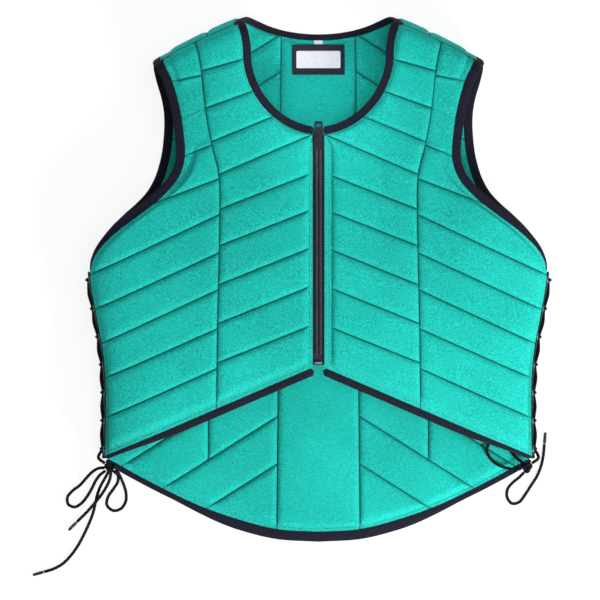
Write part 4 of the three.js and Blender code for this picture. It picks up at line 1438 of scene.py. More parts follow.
@dataclass(frozen=True)
class Finish:
    """What every finish has: a name, a roughness and how metallic it is."""

    name: str
    roughness: float = 0.8
    metallic: float = 0.0
    sheen: float = 0.0
    specular: float = 0.5

    def start(self) -> tuple[bpy.types.Material, Board, bpy.types.Node]:
        """A new material with its shader's plain values set on the shader's own sockets."""
        material = bpy.data.materials.new(self.name)
        material.use_nodes = True
        board = Board(material.node_tree)
        shader = material.node_tree.nodes["Principled BSDF"]
        shader.inputs["Roughness"].default_value = self.roughness
        shader.inputs["Metallic"].default_value = self.metallic
        shader.inputs["Sheen Weight"].default_value = self.sheen
        shader.inputs["Sheen Roughness"].default_value = 0.45
        shader.inputs["Specular IOR Level"].default_value = self.specular
        return material, board, shader

    def bump(self, board: Board, shader: bpy.types.Node, height: bpy.types.NodeSocket,
             strength: float, depth: float) -> None:
        """Feeds a height to the shader's normal.

        Args:
            board: the material's tree.
            shader: its Principled node.
            height: the relief.
            strength: how much of it shows.
            depth: its height in metres.
        """
        node = board.add("ShaderNodeBump", {}, Strength=strength, Distance=depth, Height=height)
        board.tree.links.new(node.outputs["Normal"], shader.inputs["Normal"])


@dataclass(frozen=True)
class ShellFabric(Finish):
    """Brushed teal cloth over foam, with painted shade darkening the sewn grooves."""

    dark: tuple[int, int, int] = (0, 114, 106)
    light: tuple[int, int, int] = (32, 220, 204)
    # Painted highlight on the knit's crowns: its colour and how much of it shows
    knit_dye: tuple[int, int, int] = (70, 222, 208)
    knit_share: float = 0.10
    # Painted shade down the sewn grooves: its colour and how much of it shows
    groove_dye: tuple[int, int, int] = (5, 70, 68)
    groove_share: float = 0.9
    speck: float = 1000.0
    blotch: float = 300.0
    threads: float = 4200.0
    slant: float = 0.5

    def make(self) -> bpy.types.Material:
        """The material: nap colours, painted shade down the grooves, a fine knit with paler painted
        highlight and a soft sheen.
        """
        material, board, shader = self.start()
        place = board.add("ShaderNodeTexCoord").outputs["Object"]
        cloth = board.add("ShaderNodeUVMap", {"uv_map": "cloth"}).outputs["UV"]
        nap = board.nap(place, (self.dark, self.light), self.speck, self.blotch)
        knit = board.weave(cloth, self.threads, self.slant)
        groove = board.add("ShaderNodeAttribute", {"attribute_name": "groove"}).outputs["Fac"]
        # Painted highlight: paler where the knit's threads cross over
        share = board.maths("MULTIPLY", knit.outputs["Mask"], self.knit_share)
        knitted = board.blend(share, nap.outputs["Color"], linear(*self.knit_dye))
        # Painted shade: the cloth darkens towards the shade colour where the mask is high
        share = board.maths("MULTIPLY", groove, self.groove_share)
        colour = board.blend(share, knitted, linear(*self.groove_dye))
        board.tree.links.new(colour, shader.inputs["Base Color"])
        relief = board.maths("ADD", board.maths("MULTIPLY", nap.outputs["Height"], 0.6),
                             board.maths("MULTIPLY", knit.outputs["Height"], 0.4))
        self.bump(board, shader, relief, 0.45, 0.0004)
        return material


@dataclass(frozen=True)
class WovenBand(Finish):
    """Close-woven dark tape, for bindings, strips and the zip's tape."""

    dark: tuple[int, int, int] = (9, 10, 21)
    light: tuple[int, int, int] = (30, 30, 47)
    threads: float = 3600.0
    slant: float = 1.0
    speck: float = 1100.0
    blotch: float = 260.0
    # Painted highlight on the threads' crowns: its colour and how much of it shows
    wear: tuple[int, int, int] = (44, 43, 62)
    wear_share: float = 0.22
    on_cloth: bool = True

    def make(self) -> bpy.types.Material:
        """The material: crossing threads over a heathered ground, with painted highlight on the
        threads' crowns.
        """
        material, board, shader = self.start()
        place = board.add("ShaderNodeTexCoord").outputs["Object"]
        vector = place
        if self.on_cloth:
            vector = board.add("ShaderNodeUVMap", {"uv_map": "cloth"}).outputs["UV"]
        nap = board.nap(place, (self.dark, self.light), self.speck, self.blotch)
        weave = board.weave(vector, self.threads, self.slant)
        # Painted highlight: paler where the threads cross over
        share = board.maths("MULTIPLY", weave.outputs["Mask"], self.wear_share)
        colour = board.blend(share, nap.outputs["Color"], linear(*self.wear))
        board.tree.links.new(colour, shader.inputs["Base Color"])
        relief = board.maths("ADD", board.maths("MULTIPLY", weave.outputs["Height"], 0.7),
                             board.maths("MULTIPLY", nap.outputs["Height"], 0.3))
        self.bump(board, shader, relief, 0.5, 0.00035)
        return material


@dataclass(frozen=True)
class LaceFinish(Finish):
    """Black braided lace, with painted highlight on the crowns of its strands and painted shade
    between them.
    """

    dark: tuple[int, int, int] = (4, 4, 7)
    light: tuple[int, int, int] = (24, 24, 32)
    crown_share: float = 0.75
    speck: float = 2200.0
    blotch: float = 400.0
    threads: float = 9000.0
    slant: float = 0.8

    def make(self) -> bpy.types.Material:
        """The material: the braid mask picks the strands, with fine fibres over them."""
        material, board, shader = self.start()
        cloth = board.add("ShaderNodeUVMap", {"uv_map": "cloth"}).outputs["UV"]
        place = board.add("ShaderNodeTexCoord").outputs["Object"]
        braid = board.add("ShaderNodeAttribute", {"attribute_name": "braid"}).outputs["Fac"]
        fibre = board.weave(cloth, self.threads, self.slant)
        nap = board.nap(place, (self.dark, self.light), self.speck, self.blotch)
        # Painted shade between the strands, fading to the paler nap as painted highlight on their
        # crowns
        share = board.maths("MULTIPLY", braid, self.crown_share)
        colour = board.blend(share, linear(*self.dark), nap.outputs["Color"])
        board.tree.links.new(colour, shader.inputs["Base Color"])
        relief = board.maths("ADD", braid, board.maths("MULTIPLY", fibre.outputs["Height"], 0.35))
        self.bump(board, shader, relief, 0.5, 0.00025)
        return material


@dataclass(frozen=True)
class Moulded(Finish):
    """Moulded plastic or cast metal: a plain ground with faint mottling, scuffs and fine grain."""

    dark: tuple[int, int, int] = (14, 15, 22)
    light: tuple[int, int, int] = (34, 35, 46)
    rough_spread: float = 0.18
    grain: float = 700.0
    mottle: float = 150.0

    def make(self) -> bpy.types.Material:
        """The material: noise drives the colour, and the roughness wanders with it."""
        material, board, shader = self.start()
        place = board.add("ShaderNodeTexCoord").outputs["Object"]
        nap = board.nap(place, (self.dark, self.light), self.grain, self.mottle)
        board.tree.links.new(nap.outputs["Color"], shader.inputs["Base Color"])
        low, high = self.roughness - self.rough_spread / 2, self.roughness + self.rough_spread / 2
        rough = board.span(nap.outputs["Height"], 0.0, 1.0, low, high)
        board.tree.links.new(rough, shader.inputs["Roughness"])
        self.bump(board, shader, nap.outputs["Height"], 0.12, 0.0001)
        return material


@dataclass(frozen=True)
class Wardrobe:
    """Every finish of the vest, made once."""

    fabric: bpy.types.Material
    thread: bpy.types.Material
    binding: bpy.types.Material
    strip: bpy.types.Material
    tape: bpy.types.Material
    teeth: bpy.types.Material
    metal: bpy.types.Material
    silver: bpy.types.Material
    lace: bpy.types.Material
    tip: bpy.types.Material
    backing: bpy.types.Material
    satin: bpy.types.Material

    @staticmethod
    def fill() -> "Wardrobe":
        """Makes the finishes."""
        return Wardrobe(
            fabric=ShellFabric("teal_shell", roughness=0.88, sheen=0.04, specular=0.15).make(),
            thread=WovenBand("teal_thread", roughness=0.75, dark=(20, 150, 140),
                             light=(70, 214, 200),
                             wear=(120, 232, 220), threads=9000.0, on_cloth=False).make(),
            binding=WovenBand("navy_binding", roughness=0.8, sheen=0.03, specular=0.15).make(),
            strip=WovenBand("navy_strip", roughness=0.82, on_cloth=False, dark=(7, 7, 15),
                            light=(22, 22, 34), specular=0.2).make(),
            tape=WovenBand("zip_tape_cloth", roughness=0.8, dark=(10, 10, 18), light=(34, 33, 48),
                           threads=5200.0).make(),
            teeth=Moulded("tooth_plastic", roughness=0.38, specular=0.6, dark=(22, 21, 32),
                          light=(66, 62, 82)).make(),
            metal=Moulded("dark_metal", roughness=0.55, specular=0.2, dark=(7, 8, 18),
                          light=(20, 21, 35)).make(),
            silver=Moulded("bright_metal", roughness=0.5, metallic=0.8, dark=(96, 99, 108),
                           light=(150, 153, 162)).make(),
            lace=LaceFinish("braided_lace", roughness=0.8, specular=0.2).make(),
            tip=Moulded("tip_plastic", roughness=0.35, dark=(10, 10, 14),
                        light=(30, 30, 38)).make(),
            backing=WovenBand("label_backing_cloth", roughness=0.85, dark=(10, 12, 22),
                              light=(30, 32, 48), threads=4200.0).make(),
            satin=WovenBand("label_satin", roughness=0.6, sheen=0.15, dark=(206, 211, 224),
                            light=(240, 243, 250),
                            wear=(252, 253, 255), threads=6500.0, slant=0.3).make())


# Sub-assemblies


@dataclass(frozen=True)
class Padding:
    """The padded shell: four front columns, two back halves and the spine column."""

    zip_margins: tuple[tuple[Side, float], ...] = ((Side.RIGHT, 8.5), (Side.LEFT, 4.5))
    fill: float = 0.8

    def panel(self, column: Column, side: Side) -> FrontPanel:
        """One column of one front half."""
        return FrontPanel(column, side, zip_margin=dict(self.zip_margins)[side])

    def build(self, maker: Maker, wardrobe: Wardrobe) -> None:
        """Makes the seven padded pieces."""
        for side in Side:
            parts = ((f"front_centre_{side.word}", self.panel(Column.CENTRE, side).shape()),
                     (f"front_side_{side.word}", self.panel(Column.SIDE, side).shape()),
                     (f"back_side_{side.word}", BackPanel(side).shape()))
            for node, shape in parts:
                self.dress(maker, wardrobe, node, shape)
        self.dress(maker, wardrobe, "back_spine", SpinePanel().shape())

    def dress(self, maker: Maker, wardrobe: Wardrobe, node: str, shape: Shape) -> None:
        """Makes one padded piece in place of its solid."""
        made = maker.piece(f"{node}_pad", shape, wardrobe.fabric, (node,))


@dataclass(frozen=True)
class Trim:
    """The bindings round the neck, arms and hems, and the rows of stitches beside them."""

    neck_width: float = 9.9
    back_neck_width: float = 8.0
    # Each hem band's width in the middle, and by how much and between where it narrows outwards
    hem_width: float = 9.6
    hem_taper: tuple[float, float, float] = (0.5, 150.0, 235.0)
    tail_width: float = 12.3
    tail_taper: tuple[float, float, float] = (0.42, 85.0, 165.0)
    arm_taper: float = 0.82
    arm_taper_span: float = 60.0
    neck_round_rows: int = 70
    neck_crowding: float = 1.6
    arm_rows: int = 110
    # Where the back's runs begin, just past the shoulder seam
    past_seam: float = 0.004
    zip_row_ends: tuple[float, float] = (8.0, 6.0)
    arm_row_start: float = 6.0
    binding: Binding = Binding()
    stitches: Stitches = Stitches()
    arm_inset: float = 3.2
    hem_insets: tuple[float, float] = (2.6, 5.6)
    zip_insets: tuple[tuple[Side, tuple[float, ...]], ...] = ((Side.RIGHT, (2.6, 6.4)),
                                                              (Side.LEFT, (2.7,)))
    thread_lift: float = 0.2

    def whole(self, half: Edge, t: float) -> Edge:
        """A right half's run, the spine column's end at t and the half's mirror image, in one."""
        across = SpinePanel().edge(t)
        middle = across.where(np.arange(len(across.d)) % (len(across.d) - 1) > 0)
        return half.then(middle).then(half.mirrored().backwards())

    def neck(self) -> tuple[Edge, Array]:
        """The neck's edge from one side of the zip round to the other, and its width there."""
        front = FrontPanel(Column.CENTRE, Side.RIGHT)
        corner = front.row_through(FORM.zip_half, front.neck_corner)
        back = BackPanel(Side.RIGHT)
        t = np.linspace(0, 1, self.neck_round_rows)
        rows = corner * (1 - t**self.neck_crowding)
        back_rows = back.spine_corner * (self.past_seam + (1 - self.past_seam) * t)
        half = front.edge(rows, outer=False).then(back.edge(back_rows, outer=False))
        whole = self.whole(half, 0.0)
        level = FORM.foam / 2 + FORM.layer_rise / 2
        share = smooth_step((level - whole.at[:, 2]) * 2 / FORM.layer_rise)
        return whole, self.neck_width + (self.back_neck_width - self.neck_width) * share

    def arm(self) -> tuple[Edge, Array]:
        """The right armhole's edge, up the front and down the back, and its width there."""
        front, back = FrontPanel(Column.SIDE, Side.RIGHT), BackPanel(Side.RIGHT)
        low, far = front.row_through(FORM.arm_side, FORM.arm_base), back.side_rows()[0]
        down = back.edge(np.linspace(self.past_seam, far, self.arm_rows), outer=True)
        edge = front.edge(np.linspace(low, 0, self.arm_rows), outer=True).then(down)
        taper = self.arm_taper * np.maximum(0, 1 - (edge.v - FORM.arm_base) / self.arm_taper_span)
        return edge, self.binding.width * (1 - taper)

    def hem(self) -> Edge:
        """The right half of the front hem, from the zip to the side."""
        centre, side = FrontPanel(Column.CENTRE, Side.RIGHT), FrontPanel(Column.SIDE, Side.RIGHT)
        last = np.array([float(centre.count)])
        inner, split, _ = centre.edges(last)
        outer = side.edges(last)[2]
        d = np.concatenate([np.linspace(inner[0] + FORM.seam_gap / 2, split[0], 45),
                            np.linspace(split[0], outer[0], 60)[1:]])
        v = FORM.hem_at(d)
        return Edge.cells(1, d, v)

    def tail(self) -> Edge:
        """The tail's whole hem from right to left."""
        back = BackPanel(Side.RIGHT)
        rows = np.linspace(back.side_rows()[1] + 0.01, back.count, 90)
        half = back.edge(rows, outer=True)
        return self.whole(half, 1.0)

    def narrowed(self, edge: Edge, width: float, taper: tuple[float, float, float]) -> Array:
        """A band's width along an edge, less towards the sides.

        Args:
            edge: the run that it follows.
            width: its width in the middle.
            taper: the share that it loses, and the distances across between which it does.

        Returns:
            The width at each place of the edge.
        """
        lost, near, far = taper
        return width * (1 - lost * smooth_step((np.abs(edge.d) - near) / (far - near)))

    def build(self, maker: Maker, wardrobe: Wardrobe) -> None:
        """Makes the bindings and their stitches."""
        neck, neck_widths = self.neck()
        shape = self.binding.shape(neck, (0, 1, 0), neck_widths)
        maker.piece("neck_binding_band", shape, wardrobe.binding, ("neck_binding",))
        arm, arm_widths = self.arm()
        arm_band = self.binding.shape(arm, (1, 0, 0), arm_widths)
        hem = self.hem()
        hem_band = self.binding.shape(hem, (0, -1, 0),
                                      self.narrowed(hem, self.hem_width, self.hem_taper))
        for side in Side:
            for node, band in (("arm_binding", arm_band), ("front_hem_binding", hem_band)):
                name = f"{node}_{side.word}"
                maker.piece(f"{name}_band", band.on(side), wardrobe.binding, (name,))
        tail = self.tail()
        shape = self.binding.shape(tail, (1, -1, 0),
                                   self.narrowed(tail, self.tail_width, self.tail_taper))
        maker.piece("back_hem_binding_band", shape, wardrobe.binding,
                    ("back_hem_binding",))
        self.sew(maker, wardrobe)

    def inset(self, edge: Edge, towards: tuple[float, float, float], inset: float,
              sign: int) -> Shape:
        """Stitches a little way in from an edge.

        Args:
            edge: the run that they follow.
            towards: a direction off the padding at the run's start.
            inset: how far in they lie.
            sign: 1 on the outer face of the cloth, -1 on its inner face.

        Returns:
            The row.
        """
        line = edge.at - edge.off(towards) * inset
        lift = FORM.seam_thickness / 2 + self.thread_lift
        return self.stitches.row(line + edge.out * lift * sign, edge.out * sign)

    def sew(self, maker: Maker, wardrobe: Wardrobe) -> None:
        """Makes the rows of stitches along the zip, hems and armholes."""
        arm, _ = self.arm()
        clear = arm.v > FORM.arm_base + self.arm_row_start
        on_front = arm.where((arm.at[:, 2] > FORM.layer_rise * 0.8) & clear)
        on_back = arm.where((arm.at[:, 2] < FORM.layer_rise * 0.4) & clear)
        armholes = self.inset(on_front, (1, 0, 0), self.arm_inset, 1).plus(
            self.inset(on_back, (1, 0, 0), self.arm_inset, -1))
        maker.piece("armhole_stitches", both_sides(armholes), wardrobe.thread)
        hem = self.hem()
        rows = [self.inset(hem, (0, -1, 0), inset, 1) for inset in self.hem_insets]
        hem_rows = both_sides(reduce(Shape.plus, rows))
        maker.piece("front_hem_stitches", hem_rows, wardrobe.thread)
        tail = self.inset(self.tail(), (1, -1, 0), self.hem_insets[0], -1)
        maker.piece("tail_stitches", tail, wardrobe.thread)
        centre = FrontPanel(Column.CENTRE, Side.RIGHT)
        above, below = self.zip_row_ends
        bottom = FORM.hem_at(np.array(FORM.zip_half)) + below
        v = np.linspace(centre.neck_corner - above, bottom, 120)
        lift = FORM.seam_thickness / 2 + self.thread_lift
        made = []
        for side, insets in self.zip_insets:
            for inset in insets:
                d = np.full(len(v), FORM.zip_half + inset)
                out = FORM.outward(1, d, v)
                row = self.stitches.row(FORM.point(1, d, v) + out * lift, out).turned_out()
                made.append(row.on(side))
        maker.piece("zip_edge_stitches", reduce(Shape.plus, made), wardrobe.thread)
        self.sew_soft_rows(maker, wardrobe)

    def sew_soft_rows(self, maker: Maker, wardrobe: Wardrobe) -> None:
        """Makes the stitched lines that cross the unpadded cloth beside each armhole."""
        panel = FrontPanel(Column.SIDE, Side.RIGHT)
        lines = []
        for row, half in ((1.0, panel.relief.thin), (2.0, panel.soft_half)):
            r = np.array([row])
            _, split, outer = panel.edges(r)
            d = np.linspace(split[0] + 5, outer[0] - 6, 30)
            v = panel.height(np.full(30, row), d)
            out = FORM.outward(1, d, v)
            at = FORM.point(1, d, v) + out * (half + self.thread_lift)
            lines.append(self.stitches.row(at, out))
        made = both_sides(reduce(Shape.plus, lines))
        maker.piece("soft_row_stitches", made, wardrobe.thread)


@dataclass(frozen=True)
class Strip:
    """A lacing strip's width, and how far it turns under from its pad."""

    width: float
    turn: float
    thickness: float = 3.0

    @property
    def start(self) -> float:
        """How far off the pad's edge it begins, so that its corner clears the pad."""
        return (FORM.seam_gap + math.sin(self.turn) * self.thickness / 2) / math.cos(self.turn)

    def directions(self, edge: Edge) -> tuple[Array, Array]:
        """The strip's own width and face directions along a run."""
        off = edge.off((1, 0, 0))
        side = off * math.cos(self.turn) - edge.out * math.sin(self.turn)
        return side, edge.out * math.cos(self.turn) + off * math.sin(self.turn)

    def eyelets(self, edge: Edge, heights: Array) -> tuple[Array, Array, Array]:
        """Where the eyelets stand, the direction they face, and the strip's run there."""
        side, face = self.directions(edge)
        order = np.argsort(edge.at[:, 1])
        y = edge.at[order, 1]

        def read(values: Array) -> Array:
            """A value along the run, at the eyelets' heights."""
            return between(heights, y, values[order])

        at = read(edge.at) + read(side) * (self.start + self.width / 2)
        face_there = unit(read(face))
        run = unit(np.gradient(at, axis=0))
        return at, face_there, unit(run - face_there * np.sum(run * face_there, -1, keepdims=True))


@dataclass(frozen=True)
class Lacing:
    """Strips, eyelets and the lace that closes each side."""

    front: Strip = Strip(15.0, 0.82)
    back: Strip = Strip(12.0, 1.05)
    count: int = 7
    inset: float = 8.0
    clear: float = 0.3
    dip: float = 0.9
    rim: float = 0.7
    ring_radius: float = 3.05
    into_knot: tuple[float, float, float] = (6.2, 5.0, 2.5)
    swing: tuple[float, float, float] = (5.0, -2.0, 0.0)
    lace: Lace = Lace()

    def sides(self) -> tuple[Edge, Edge]:
        """The laced edges of the front and the back, on the right."""
        front, back = FrontPanel(Column.SIDE, Side.RIGHT), BackPanel(Side.RIGHT)
        low = front.row_through(FORM.arm_side, FORM.arm_base)
        first, last = back.side_rows()
        return (front.edge(np.linspace(low, front.count, 90), outer=True),
                back.edge(np.linspace(first, last, 90), outer=True))

    def build(self, maker: Maker, wardrobe: Wardrobe) -> None:
        """Makes the eyelets' rims and the side laces."""
        hem_corner = reach_one(lambda v: v < FORM.hem_at(FORM.side_out(v)), -FORM.length / 2, 0)
        bottom = max(BackPanel(Side.RIGHT).tail_corner, hem_corner) + self.inset
        heights = np.linspace(FORM.arm_base - self.inset, bottom, self.count)
        edges = self.sides()
        places = [strip.eyelets(edge, heights)
                  for strip, edge in zip((self.front, self.back), edges)]
        rims = []
        for at, face, run in places:
            on_face = at + face * self.front.thickness / 2
            rim = ring(self.ring_radius, self.rim)
            rims.append(copies(rim, on_face, np.cross(run, face), run, face))
        rim_shape = reduce(Shape.plus, rims).turned_out()
        dip_lift = self.front.thickness / 2 + self.dip
        over_lift = self.front.thickness / 2 + self.lace.radius + self.rim + self.clear
        dip, over = ([at + face * lift for at, face, _ in places] for lift in (dip_lift, over_lift))
        ends = np.stack(dip, 1).reshape(-1, 3)
        crests = np.stack(over, 1).reshape(-1, 3)
        route = np.empty((2 * len(ends) - 1, 3))
        route[::2], route[1::2] = ends, (crests[:-1] + crests[1:]) / 2
        end = np.array(FORM.knot_place) + np.array(self.into_knot)
        below = (over[1][-1] + end) / 2 + np.array(self.swing)
        line = Route(np.concatenate([route, [below, end]])).line(self.lace.step)
        lace = self.lace.shape(line, (0, 1, 0))
        for side in Side:
            maker.piece(f"eyelets_{side.word}", rim_shape.on(side), wardrobe.silver)
            maker.piece(f"side_lace_{side.word}_braid", lace.on(side), wardrobe.lace,
                        (f"side_lace_{side.word}",))


@dataclass(frozen=True)
class FreeEnd:
    """One free length of lace: its solid, its listed route, and the tip on it if it has one."""

    node: str
    side: Side
    points: tuple[tuple[float, float, float], ...]
    tip: str | None = None


@dataclass(frozen=True)
class Bows:
    """The two bows: knots, loops, ends and tips."""

    lace: Lace = Lace()
    knot_unit: float = 1.75
    knot_tube: float = 2.0
    tip_length: float = 13.0
    tip_radius: float = 2.0
    ends: tuple[FreeEnd, ...] = (
        FreeEnd("bow_loop_left_outer", Side.LEFT, (
            (-241.2, -211.4, 23.5), (-247, -212, 19), (-254, -216, 12), (-261, -223, 5.5),
            (-268, -231, 2.4), (-277, -238, 2), (-282.5, -245, 2), (-281.5, -253, 2),
            (-274.5, -256, 2), (-267, -252, 2), (-260, -243.5, 2.1), (-255, -235, 3),
            (-251, -227, 8), (-246, -220, 16), (-240, -215.2, 22.6))),
        FreeEnd("bow_loop_left_inner", Side.LEFT, (
            (-229.6, -215.6, 20.9), (-225.5, -220, 14.5), (-226, -228, 6.5), (-231, -236, 2.6),
            (-237, -245, 2), (-238, -254, 2), (-231, -260, 2), (-222.5, -258, 2),
            (-217, -250, 2), (-216.5, -241, 2.1), (-218, -234, 3.5), (-220, -228.5, 8),
            (-222.3, -222.5, 14.5), (-225, -217, 19.5), (-227.6, -214.3, 23))),
        FreeEnd("lace_end_left_long", Side.LEFT, (
            (-236.6, -217.3, 21.3), (-240.5, -224, 13), (-245, -232, 5.5), (-248.5, -241, 2.4),
            (-251, -251, 2), (-253.5, -262, 2), (-258, -274, 2), (-264, -287, 2),
            (-271, -300, 2), (-279, -311, 2), (-288, -320, 2), (-299, -326, 2),
            (-309, -329, 2)), "lace_tip_left_long"),
        FreeEnd("lace_end_left_short", Side.LEFT, (
            (-233.3, -217.4, 20.4), (-234.5, -224, 14), (-238, -232, 9.5), (-243.5, -241, 7.2),
            (-250, -249.5, 6.4), (-256.5, -257, 5), (-262, -263, 3), (-268, -269, 2),
            (-272, -273, 2)), "lace_tip_left_short"),
        FreeEnd("bow_loop_right", Side.RIGHT, (
            (227.3, -212.4, 22.4), (220, -213.5, 18.5), (211, -211.5, 16.3), (201, -207.5, 15.3),
            (193, -200.5, 14.8), (189.5, -191.5, 14.8), (193, -183, 15.3), (202, -180, 16.2),
            (210, -184, 17), (216, -192, 17), (222, -200, 20), (229, -205.2, 24.5))),
        FreeEnd("lace_end_right", Side.RIGHT, (
            (230.5, -217.2, 20.6), (225.5, -222.5, 14.5), (218.5, -228.5, 7.5), (213, -236, 3),
            (212.5, -245, 2), (218, -252, 2), (226, -250.5, 2), (232.5, -242.5, 2),
            (239, -232.5, 2), (246, -221.5, 2), (251, -209, 2), (253.5, -196, 2),
            (254.5, -185, 2)), "lace_tip_right"))

    def knot(self) -> Shape:
        """A tight overhand knot: a lace along a trefoil.

        The line is (sin t + 2 sin 2t, cos t - 2 cos 2t, -sin 3t), a little taller in Z.
        """
        t = np.linspace(0, 2 * np.pi, 150, endpoint=False)
        line = np.stack([np.sin(t) + 2 * np.sin(2 * t), np.cos(t) - 2 * np.cos(2 * t),
                         -1.1 * np.sin(3 * t)], -1)
        line = line * self.knot_unit * np.array([1, 0.9, 1]) + np.array(FORM.knot_place)
        thick = Lace(radius=self.knot_tube, braid_pitch=4.0)
        return thick.shape(line, (0, 0, 1), closed=True)

    def tip(self, line: Array) -> Shape:
        """A crimped tip past the end of a lace: a turned profile with two shallow waists."""
        way = unit(line[-1] - line[-3])
        t = np.linspace(0, 1, 26)
        radius = self.tip_radius * (1 - 0.2 * t) * (1 - 0.10 * np.exp(-(((t - 0.12) / 0.03) ** 2))
                                                    - 0.10 * np.exp(-(((t - 0.22) / 0.03) ** 2)))
        radius = radius * np.sqrt(np.clip(np.minimum(t, 1 - t) * 12, 0.05, 1))
        side = unit(np.cross(way, np.array([0.0, 0.0, 1.0])))
        up = np.cross(side, way)
        angle = np.linspace(0, 2 * np.pi, 18, endpoint=False)[None, :, None]
        centre = line[-1] + way * (FORM.seam_gap + self.tip_length * t)[:, None]
        spokes = side * np.cos(angle) + up * np.sin(angle)
        rings = centre[:, None] + radius[:, None, None] * spokes
        return loft(rings, rings[..., :2])

    def build(self, maker: Maker, wardrobe: Wardrobe) -> None:
        """Makes knots, tips and laces."""
        knot = self.knot()
        for side in Side:
            maker.piece(f"knot_{side.word}", knot.on(side), wardrobe.lace,
                                      (f"lace_knot_{side.word}",))
        for end in self.ends:
            line = Route(np.array(end.points, float)).line(self.lace.step)
            made = maker.piece(f"{end.node}_braid", self.lace.shape(line, (0, 0, 1)), wardrobe.lace,
                               (end.node,))
            if end.tip:
                maker.piece(f"{end.tip}_sheath", self.tip(line), wardrobe.tip,
                                          (end.tip,))


@dataclass(frozen=True)
class Zip:
    """The zip's tapes and teeth; its slider, pull and stop are the solids themselves."""

    tape_thickness: float = 1.2
    tape_sink: float = 0.2
    ridge: float = 0.18
    ridge_out: float = 5.4
    ridge_half: float = 0.5
    tooth_reach: float = 4.2
    tooth_thick: float = 2.2
    tooth_width: float = 1.7
    tooth_pitch: float = 2.8
    tooth_slant: float = 0.6
    tail: float = 12.0
    slider_above_cloth: float = 7.0
    slider_wedge: float = 5.0
    run_clear: float = 0.4

    @property
    def top(self) -> float:
        """Where tapes and teeth begin, under the slider's wedge."""
        corner = FrontPanel(Column.CENTRE, Side.RIGHT).neck_corner
        below_wedge = self.slider_above_cloth - self.slider_wedge - self.run_clear
        return corner - FORM.seam_gap + min(0.0, below_wedge)

    def tape(self) -> Shape:
        """The right tape: a thin slab under the teeth with a rolled edge."""
        v = np.linspace(self.top, FORM.hem_peak, 70)[:, None]
        d = np.linspace(FORM.seam_touch, FORM.zip_half - FORM.seam_gap / 2, 12)[None, :]
        at, out = FORM.point(1, d, v), FORM.outward(1, d, v)
        ridge = self.ridge * np.exp(-(((d - self.ridge_out) / self.ridge_half) ** 2))
        cloth = np.stack(np.broadcast_arrays(d, v), -1)
        top = at + out * ridge[..., None] - out * self.tape_sink
        return slab(top, at - out * self.tape_thickness, cloth, {})

    def teeth(self) -> Shape:
        """The right row of teeth, slanted rounded lumps at an even pitch."""
        bottom = FORM.hem_peak + self.tail
        v = np.arange(self.top - self.tooth_width, bottom, -self.tooth_pitch)
        d = np.full(len(v), (FORM.seam_gap / 2 + self.tooth_reach) / 2)
        at, out = FORM.point(1, d, v), FORM.outward(1, d, v)
        across = unit(FORM.point(1, d + 0.5, v) - at)
        up = np.cross(out, across)
        x = across * math.cos(self.tooth_slant) + up * math.sin(self.tooth_slant)
        y = np.cross(out, x)
        half_length = (self.tooth_reach - FORM.seam_gap / 2) / 2
        lump = capsule((half_length, self.tooth_width / 2, self.tooth_thick / 2), around=8, rings=6,
                       squareness=0.6)
        return copies(lump, at + out * (FORM.seam_gap + self.tooth_thick / 2), x, y, out)

    def build(self, maker: Maker, wardrobe: Wardrobe) -> None:
        """Makes tapes and teeth on both sides of the centre line."""
        tape, teeth = self.tape(), self.teeth().turned_out()
        for side in Side:
            maker.piece(f"zip_tape_{side.word}_cloth", tape.on(side), wardrobe.tape,
                        (f"zip_tape_{side.word}",))
            maker.piece(f"zip_teeth_{side.word}_row", teeth.on(side), wardrobe.teeth,
                        (f"zip_teeth_{side.word}",))


